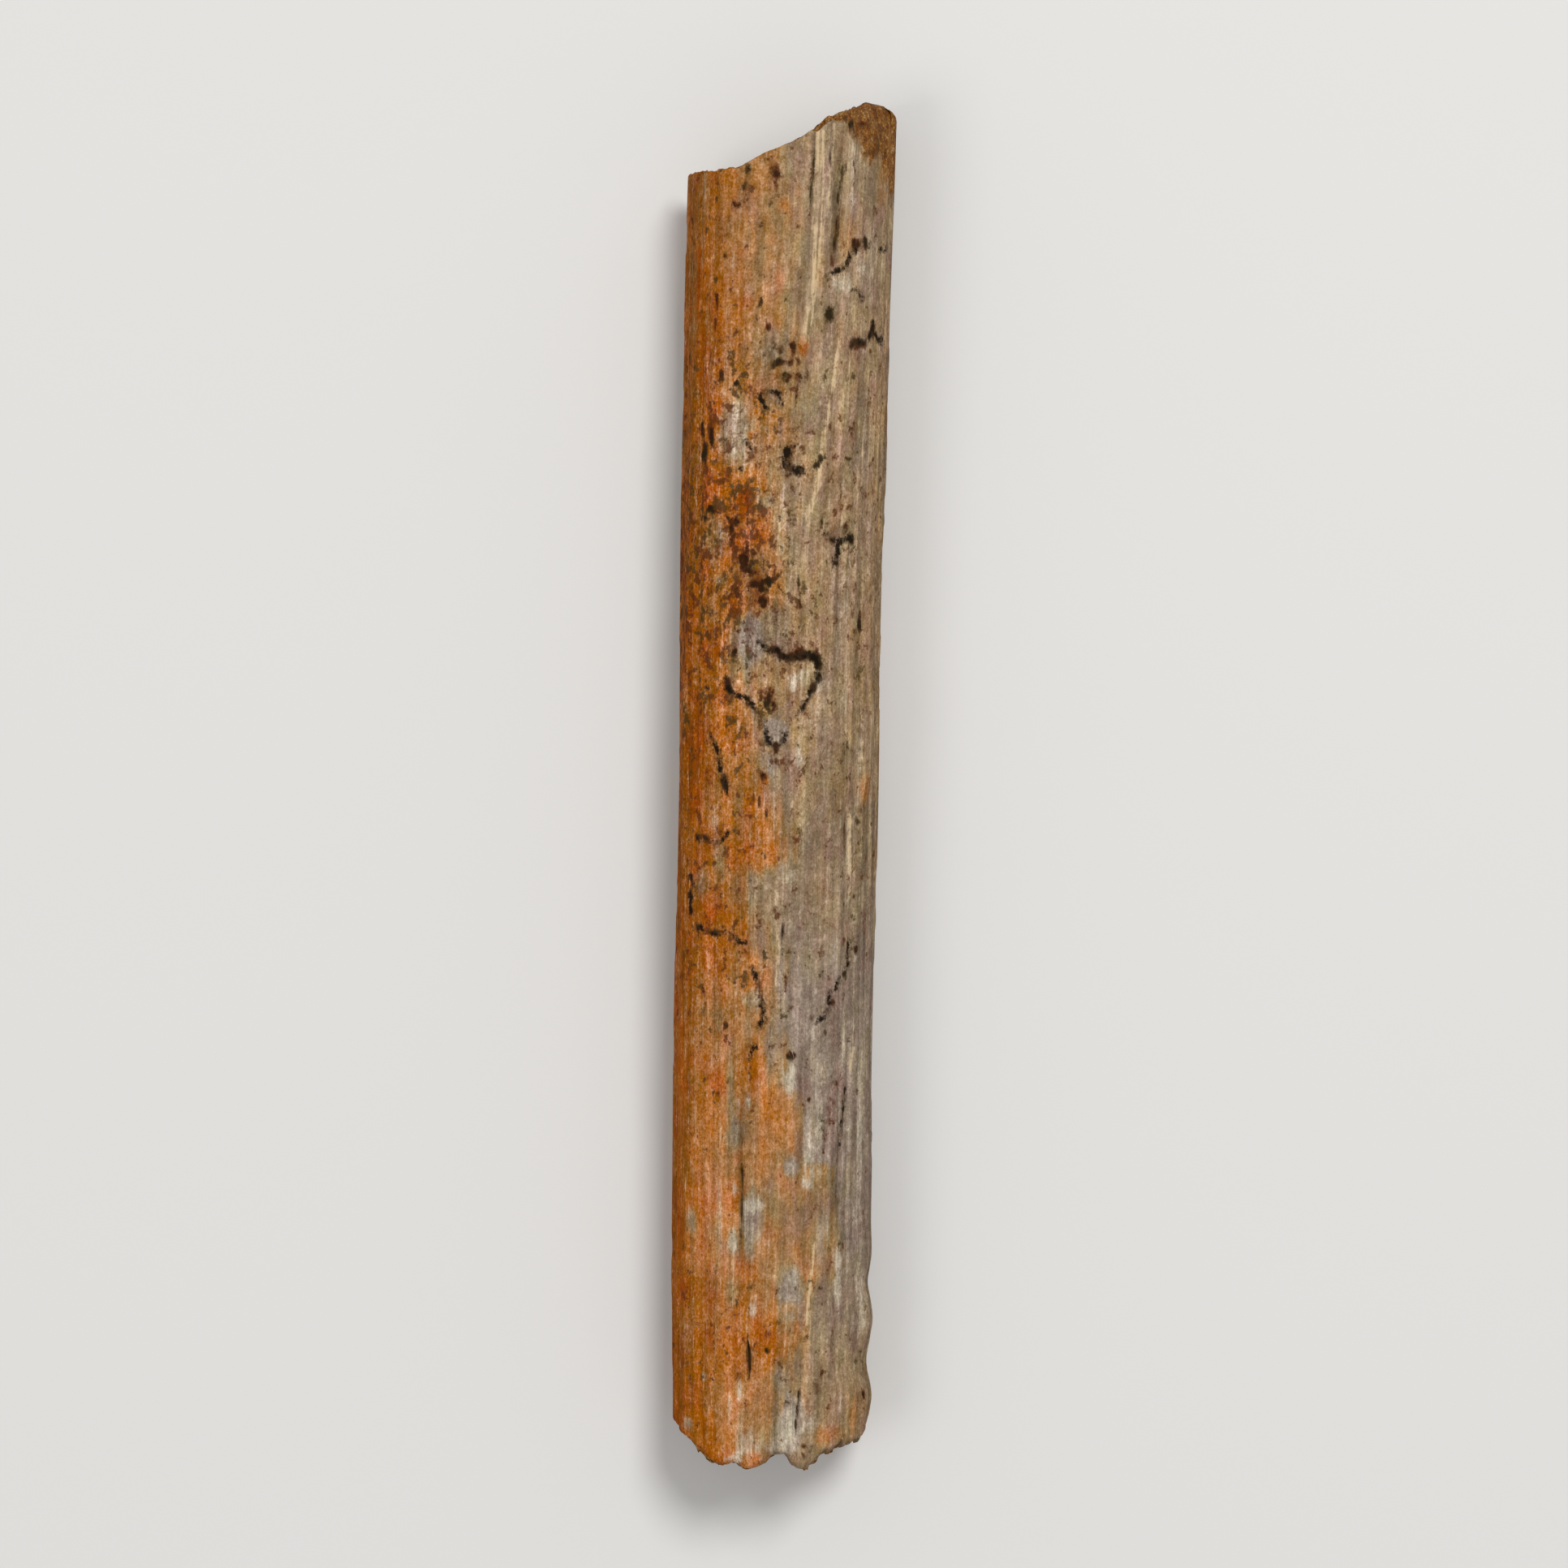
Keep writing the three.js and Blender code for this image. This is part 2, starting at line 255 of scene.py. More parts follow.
def girth():
    """Angles round the rod from the middle of the sole, and how far across the surface each lies from the
    crest, positive to the right."""
    angle = np.linspace(-math.pi / 2, 3 * math.pi / 2, GIRTH_POINTS)
    x, z = section(angle, 0)
    walked = np.concatenate([[0], np.cumsum(np.hypot(np.diff(x), np.diff(z)))])
    return angle, walked[-1] / 2 - walked, x


GIRTH_ANGLE, GIRTH_ACROSS, GIRTH_X = girth()
PERIMETER = 2 * GIRTH_ACROSS[0]


def across_at_angle(angle):
    return np.interp(angle, GIRTH_ANGLE, GIRTH_ACROSS)


def across_at(x, y):
    """How far across the surface a place of the upper side lies, from where it is seen from above."""
    upper = slice(GIRTH_POINTS // 4, 3 * GIRTH_POINTS // 4 + 1)
    level_x = (x - middle_x(y)) * HALF_WIDTH / half_width(y)
    return np.interp(level_x, GIRTH_X[upper][::-1], GIRTH_ACROSS[upper][::-1])


def ripple(across, y, width, length, seed):
    """Smooth random values from -1 to 1, in lanes of this width that run along the rod."""
    random = np.random.default_rng(seed)
    lanes = max(3, round(PERIMETER / width))
    cells = random.uniform(-1, 1, (lanes, int(LENGTH / length) + 8))
    shifts = random.uniform(0, 1, lanes)

    def lane(i):
        i = i % lanes
        v = (y + HALF_LENGTH) / length + 2 + shifts[i]
        j = np.floor(v).astype(int)
        f = smooth(0, 1, v - j)
        return cells[i, j] * (1 - f) + cells[i, j + 1] * f

    u = across / PERIMETER * lanes
    i = np.floor(u).astype(int)
    f = smooth(0, 1, u - i)
    return lane(i) * (1 - f) + lane(i + 1) * f


def ripples(across, y, layers):
    """The sum of several ripples: how much of each, its width, length and seed."""
    return sum(amount * ripple(across, y, width, length, seed) for amount, width, length, seed in layers)


def fibre_lean(across, y):
    """How far the fibres have swung to the right, compared with the rod's own line."""
    total = 0
    for far, start, end, middle, reach in FIBRE_SWINGS:
        total = total + far * smooth(start, end, y) * bell((across - middle) / reach)
    return total


def upwards(path):
    """A path of (place, y) points that leads down the rod, as (y, place) points that lead up it."""
    return [(y, place) for place, y in reversed(path)]


def strand_relief(x, y):
    total = 0
    for height, half, path in STRANDS:
        start, end = path[-1][1], path[0][1]
        fade = plateau((start, start + STRAND_FADE, end - STRAND_FADE, end), y)
        total = total + height * fade * bell((x - along(upwards(path), y)) / half)
    return total


def flute_relief(angle, y):
    turn = 2 * math.pi * y / LENGTH
    total = 0
    for cycles, depth, drift, phase in FLUTES:
        total = total + depth * np.cos(cycles * angle + drift * turn + phase)
    return total


def scallop_relief(angle, y):
    facing = smooth(*SCALLOP_FACING, np.cos(angle))
    return facing * sum(shift * bell((y - at) / half) for at, shift, half in FLANK_SCALLOPS)


def chip_start(x):
    (x0, y0), (x1, y1) = CHIP["inner"], CHIP["outer"]
    return y0 + (y1 - y0) * (x - x0) / (x1 - x0)


def chip_depth(x, y):
    inside = smooth(CHIP["inner"][0] - CHIP["blend"], CHIP["inner"][0] + CHIP["blend"], x)
    return CHIP["slope"] * np.maximum(0, y - chip_start(x)) * inside


def fibre_relief(across, y):
    """Bundles with rounded backs and sharp valleys, where the noise passes through zero."""
    place = across - fibre_lean(across, y)
    total = 0
    for seed, (width, length, relief) in enumerate(FIBRES):
        total = total + relief * (2 * np.abs(ripple(place, y, width, length, seed)) - 1)
    return total


def lamella_relief(across, y):
    kept = ripples(across, y, LAMELLA["ripples"])
    return LAMELLA["step"] * sum(smooth(*level, kept) for level in LAMELLA["levels"])


def pit_relief(across, y):
    large, small = (ripple(across, y, *shape) for shape in PITS["ripples"])
    return -PITS["depth"] * smooth(*PITS["levels"], large * small)


def crack_edges(across, y):
    """For each crack, the distance from its edge, negative inside, with its half width and depth."""
    for half, depth, path in CRACKS:
        start, end = path[-1][1], path[0][1]
        open_here = plateau((start, start + CRACK_TAPER, end - CRACK_TAPER, end), y)
        yield distance_to_path(across, y, on_surface(path)) - half * open_here, half, depth


def crack_relief(across, y):
    total = 0
    for distance, half, depth in crack_edges(across, y):
        total = np.minimum(total, -depth * smooth(0, -half, distance))
    return total


def on_surface(path):
    """A path of (x, y) places seen from above, as (across, y) places on the surface."""
    return [(float(across_at(x, y)), y) for x, y in path]


def round_the_rod(across):
    """The short way round for a difference between two places across the surface."""
    return (across + PERIMETER / 2) % PERIMETER - PERIMETER / 2


def distance_to_path(across, y, path):
    """Distance over the surface to a path of (across, y) points."""
    nearest = np.full(np.shape(across), np.inf)
    for (s0, y0), (s1, y1) in zip(path, path[1:]):
        ds, dy = s1 - s0, y1 - y0
        right, up = round_the_rod(across - s0), y - y0
        t = np.clip((right * ds + up * dy) / (ds * ds + dy * dy), 0, 1)
        nearest = np.minimum(nearest, np.hypot(right - t * ds, up - t * dy))
    return nearest


def wall(angle, y, inset=0, fine=True):
    """Points of the rod's wall, drawn in by inset, and the fine relief that they carry."""
    x, z = section(angle, y)
    upper = smooth(*UPPER_SIDE, np.sin(angle))
    across = across_at_angle(angle)
    strands = upper * strand_relief(middle_x(y) + x, y)
    relief = flute_relief(angle, y) + scallop_relief(angle, y) + strands
    detail = np.zeros(np.shape(x))
    if fine:
        detail = fibre_relief(across, y) + lamella_relief(across, y) + pit_relief(across, y)
        detail = detail + crack_relief(across, y)
    a, b = half_width(y), thickness(y) / 2
    nx, nz = x / (a * a), z / (b * b)
    size = np.hypot(nx, nz)
    out_x = middle_x(y) + x + nx / size * (relief + detail - inset)
    out_z = middle_z(y) + z + nz / size * (relief + detail - inset) - upper * chip_depth(out_x, y)
    return np.stack([out_x, y + 0 * out_x, np.maximum(0, out_z)], -1), strands + detail


# ---- The broken ends ----
def waves(x, z):
    """The gentle waves of a broken end, as in the solid, from -1 to 1."""
    return np.sin(2.6 * x + 1.7 * z) * np.sin(1.9 * z - 1.4 * x + 0.8)


def bundles(x, z, size, seed):
    """Each fibre bundle of a torn end stands at its own random height, from -1 to 1."""
    random = np.random.default_rng(seed)
    offsets = random.uniform(0.1, 0.9, (BUNDLE_CELLS, BUNDLE_CELLS, 2))
    heights = random.uniform(-1, 1, (BUNDLE_CELLS, BUNDLE_CELLS))
    u, v = x / size + BUNDLE_CELLS / 2, z / size + BUNDLE_CELLS / 4
    nearest = np.full(np.shape(u), np.inf)
    height = np.zeros(np.shape(u))
    for du in (-1, 0, 1):
        for dv in (-1, 0, 1):
            i, j = np.floor(u).astype(int) + du, np.floor(v).astype(int) + dv
            d = np.hypot(i + offsets[i, j, 0] - u, j + offsets[i, j, 1] - v)
            height = np.where(d < nearest, heights[i, j] - BUNDLE_DOME * d, height)
            nearest = np.minimum(nearest, d)
    return height


def torn(end, x, z, level):
    """How far the bundles stand out of a torn end, calmer near its rim."""
    out = sum(far * bundles(x, z, size, seed) for far, size, seed in TORN_BUNDLES)
    at_rim = end["torn_at_rim"]
    return end["torn"] * out * (at_rim + (1 - at_rim) * smooth(*RIM_LEVELS, level))


def hackle(end, x, z, level):
    return end["hackle"] * (1 + waves(x, z)) * (1 - level) / 2


def shoulder(x):
    """Where the oblique end is worn round: 1 on its right shoulder, 0 to the left of it."""
    return smooth(*TOP_BREAK["shoulder_span"], x)


def top_face(x, z):
    level = np.clip(z / thickness(HALF_LENGTH), 0, 1)
    fallback = blend(TOP_BREAK["fallback"], TOP_BREAK["shoulder_fallback"], shoulder(x))
    fallen = fallback * (1 - level) ** TOP_BREAK["fallback_power"]
    below_edge = smooth(*TOP_BREAK["ledge_levels"], level)
    ledge = TOP_BREAK["ledge"] * plateau(TOP_BREAK["ledge_span"], x) * below_edge
    fine = torn(TOP_BREAK, x, z, level) * (1 - TOP_BREAK["shoulder_wear"] * shoulder(x))
    return along(TOP_BREAK["outline"], x) - fallen - ledge - hackle(TOP_BREAK, x, z, level) + fine


def foot_face(x, z):
    level = np.clip(z / thickness(-HALF_LENGTH), 0, 1)
    fallen = FOOT_BREAK["fallback"] * (1 - level) ** FOOT_BREAK["fallback_power"]
    outline = along(FOOT_BREAK["outline"], x + FOOT_BREAK["drift"] * (1 - level) ** 2)
    return outline + fallen + hackle(FOOT_BREAK, x, z, level) + torn(FOOT_BREAK, x, z, level)


def edge_inset(radius, distance):
    left = np.clip(1 - distance / radius, 0, 1)
    return radius * (1 - np.sqrt(1 - left * left))


# ---- Marks of the upper side, as (x, y) places seen from above ----
# Where the warm left side gives way to the grey right one: (y, x).
WARM_EDGE = [
    (-36.3, -0.9), (-35.7, -0.7), (-32.6, 0.8), (-28.6, 1.5), (-26.3, 2.7), (-21, 2.8), (-20.8, 1.6),
    (-20.5, 1.1), (-16.8, 1), (-16.7, -0.2), (-13.9, -0.3), (-10.8, -0.3), (-8.6, -1), (-5.2, -1.8),
    (-4.1, -0.1), (0.3, -0.7), (2.8, -1.4), (3.9, -1.8), (6.6, -2.6), (8.8, -2.3), (9.9, -0.4), (12.3, 0),
    (16.3, -0.1), (19.9, 0.8), (24.3, 0.8), (28.3, 0.8), (31.5, 0.4), (33.9, 0.3), (37.7, 0.8),
]

# Warmth of the right and of the left side, and dustiness, along the rod: (y, value).
RIGHT_WARMTH = [
    (-37.5, 0.2), (-30, 0.08), (-20, -0.03), (-13, -0.02), (-6, 0.1), (5, 0.14), (20, 0.14), (30, 0.1),
    (37.5, 0.1),
]
LEFT_WARMTH = [
    (-37.5, 0.52), (-30, 0.48), (-22, 0.44), (-14, 0.46), (-5, 0.5), (5, 0.5), (10, 0.48), (14, 0.48),
    (19, 0.46), (24, 0.38), (30, 0.36), (37.5, 0.38),
]
DUST = [
    (-37.5, 0.1), (-31, 0.4), (-25, 0.05), (-16, 0.25), (-8, 0.5), (3, 0.7), (12, 1.1), (22, 0.65),
    (28, 0.25), (37.5, 0.5),
]

# Patches: x, y, half width, half length, and how much is added there.
WARM_PATCHES = [
    (-4.7, 28.3, 0.13, 4.22, 0.3), (0, 31.7, 0.3, 0.5, 0.15), (-2.1, 25.9, 0.53, 0.89, 0.1),
    (1.1, 23.9, 0.25, 0.4, 0.35), (-4.5, 23.9, 0.31, 2.67, 0.25), (-2.6, 19.1, 0.98, 1.51, -0.35),
    (-1.8, 19.1, 0.22, 0.22, 0.3), (-0.7, 23.9, 0.62, 0.8, -0.2), (-0.7, 20.9, 0.45, 0.5, -0.15),
    (-2.1, 16.3, 1.33, 0.89, 0.12), (-2.2, 15.4, 0.36, 0.71, 0.3), (-1.3, 13.9, 0.98, 0.53, 0.12),
    (-0.9, 15.4, 0.4, 0.4, -0.25), (-3.7, 13.4, 0.71, 1.07, -0.22), (-3.3, 11.1, 0.36, 0.27, -0.2),
    (-0.4, 11.7, 0.27, 1.33, 0.15), (-1.8, 7.9, 0.62, 1.16, -0.45), (-3.6, 7.4, 0.13, 0.71, 0.25),
    (-4.9, 1.7, 0.62, 2.76, 0.25), (-2.5, 2.8, 0.98, 1.69, 0.1), (-0.4, 2.8, 0.53, 0.58, -0.45),
    (-0.7, 5.4, 1.33, 1.33, 0.12), (-0.9, 0.9, 0.49, 0.62, -0.2), (-1.8, -1.1, 0.31, 0.58, 0.3),
    (-1, 0.2, 0.18, 0.27, 0.3), (4.6, -0.3, 0.44, 0.67, 0.25), (-2.3, -3.9, 0.8, 0.8, 0.15),
    (-0.9, -4, 0.89, 0.62, 0.1), (-3.4, -4.1, 0.36, 0.98, -0.25), (-4.4, -5.4, 0.53, 0.8, -0.2),
    (-4.1, -7.2, 0.67, 0.53, 0.12), (-2.7, -7.2, 0.62, 0.44, 0.1), (-1.8, -11.9, 0.49, 0.49, -0.25),
    (-1.8, -15.7, 0.53, 1.16, 0.15), (-0.3, -18.7, 1.16, 1.51, 0.08), (-2.9, -17.5, 0.22, 2.05, -0.25),
    (-2.5, -19.2, 0.4, 0.76, -0.3), (-5.2, -17.1, 0.62, 0.89, 0.15), (-3.4, -14.1, 0.89, 1.07, -0.08),
    (0.4, -21, 0.4, 0.44, -0.35), (1.9, -23.7, 0.8, 1.96, -0.15),
    (-1.7, -23.9, 0.62, 1.33, -0.4), (-2.7, -25.2, 0.27, 0.62, -0.3), (-3.5, -25, 0.31, 2.67, -0.15),
    (-2.8, -27.9, 0.27, 0.98, -0.2), (-5.1, -24.1, 0.31, 0.67, -0.35), (-1.8, -26.7, 0.62, 0.58, 0.2),
    (-0.5, -22.8, 0.36, 1.33, -0.1), (0.3, -27.7, 0.58, 0.98, -0.5), (0.3, -29.2, 0.44, 0.44, -0.25),
    (0.8, -30.1, 0.4, 0.71, 0.2), (-0.9, -30.7, 0.89, 0.98, 0.2), (-0.1, -32.8, 0.4, 0.8, -0.3),
    (0.4, -35.2, 0.67, 1.24, -0.45), (-2, -36, 0.76, 0.8, -0.15), (-2.4, -33.2, 0.31, 0.62, -0.15),
    (-5.2, -35.2, 0.36, 0.36, -0.35), (-4, -35.9, 0.62, 1.07, 0.15), (2.6, -35.8, 0.9, 0.5, 0.25),
    (4, -35, 0.5, 0.9, 0.15), (5.5, 33, 0.5, 1.2, 0.15), (3.4, 30.2, 0.5, 1.3, 0.12),
    (1.9, 28.3, 0.36, 0.89, 0.1), (-4.4, -32.6, 0.22, 0.27, -0.3),
]
PALE_PATCHES = [
    (3.8, 33.6, 0.45, 1.8, 0.45), (3.5, 31.7, 0.4, 0.58, 0.5), (3.2, 27.4, 0.49, 0.58, 0.7),
    (4.3, 28.6, 0.27, 0.53, 0.3), (4.6, 27.7, 0.71, 1.33, 0.2), (-2.6, 19.1, 0.98, 1.42, 0.45),
    (-1.1, 23.6, 0.4, 0.36, 0.4), (-0.9, 15.5, 0.36, 0.36, 0.35),
    (-3.6, 13.1, 0.62, 0.98, 0.3), (-3.3, 11.1, 0.31, 0.27, 0.4), (-1.8, 7.9, 0.53, 1.07, 0.35),
    (0.4, 5.4, 0.36, 0.62, 0.7), (1.1, 5.9, 0.31, 0.53, 0.5), (-0.4, 2.9, 0.49, 0.53, 0.4),
    (0.8, 1.4, 0.36, 0.58, 0.6), (2, 5.4, 0.22, 0.31, 0.5), (4.4, 1.9, 0.18, 1.51, 0.5),
    (-0.5, -2.3, 0.36, 1.16, 0.35), (-3.8, -2.3, 0.22, 0.62, 0.35), (0.4, -5.2, 0.36, 0.36, 0.35),
    (0.8, -3.4, 0.27, 0.62, 0.3), (3.8, -4.1, 0.22, 2.4, 0.5), (-1.8, -11.9, 0.44, 0.44, 0.4),
    (0.3, -16.3, 0.4, 0.58, 0.9), (0.5, -17.1, 0.27, 0.22, 0.3), (-2.6, -19.2, 0.36, 0.71, 0.35),
    (-1.9, -17.5, 0.18, 0.27, 0.8), (-2.6, -17.7, 0.18, 0.36, 0.5), (3.7, -18.8, 0.53, 1.33, 0.35),
    (4.4, -19.5, 0.3, 3.2, 0.75), (2, -19, 0.25, 1.8, 0.7), (3.2, -27, 0.3, 1.3, 0.7),
    (1.4, -20.6, 0.31, 1.69, 0.8), (0.4, -21, 0.36, 0.44, 0.5),
    (1.2, -22, 0.31, 0.31, 0.7), (-1.7, -23.2, 0.53, 0.44, 0.9), (-1.7, -24.8, 0.49, 0.98, 0.6),
    (-2.7, -25.2, 0.22, 0.58, 0.7), (-2.6, -22.3, 0.18, 0.31, 0.7), (-3.5, -23.7, 0.22, 1.07, 0.35),
    (-5.1, -24, 0.27, 0.62, 0.55), (-5.3, -21.5, 0.13, 0.62, 0.4), (0.45, -27.3, 0.33, 0.8, 0.7),
    (0, -28.2, 0.4, 0.44, 0.45), (3.1, -26.1, 0.27, 0.53, 0.6), (-1.7, -28.9, 0.22, 0.49, 0.9),
    (0.2, -29.2, 0.44, 0.44, 0.25), (-4.4, -32.6, 0.18, 0.22, 0.5), (-2.4, -33.2, 0.22, 0.58, 0.5),
    (-3, -34.3, 0.22, 0.62, 0.4), (0.3, -35.3, 0.62, 1.16, 0.85), (1.6, -35.1, 0.53, 0.71, 0.6),
    (-2, -36.1, 0.67, 0.8, 0.65), (-5.2, -35.2, 0.31, 0.36, 0.7), (-2.9, -37.1, 0.53, 0.27, 0.7),
    (-0.7, -36.4, 0.71, 0.27, 0.6), (1.1, -34.3, 0.22, 0.89, 0.4), (4.4, -28.4, 0.3, 1.7, 0.7),
    (3.3, -25.5, 0.53, 1.78, 0.25), (2.5, 3.9, 1.33, 2.67, 0.12), (1.5, -13.4, 0.36, 2.22, 0.25),
    (5.1, -16.1, 0.22, 2.67, 0.2), (-3.8, -15.2, 0.44, 0.71, 0.2),
]
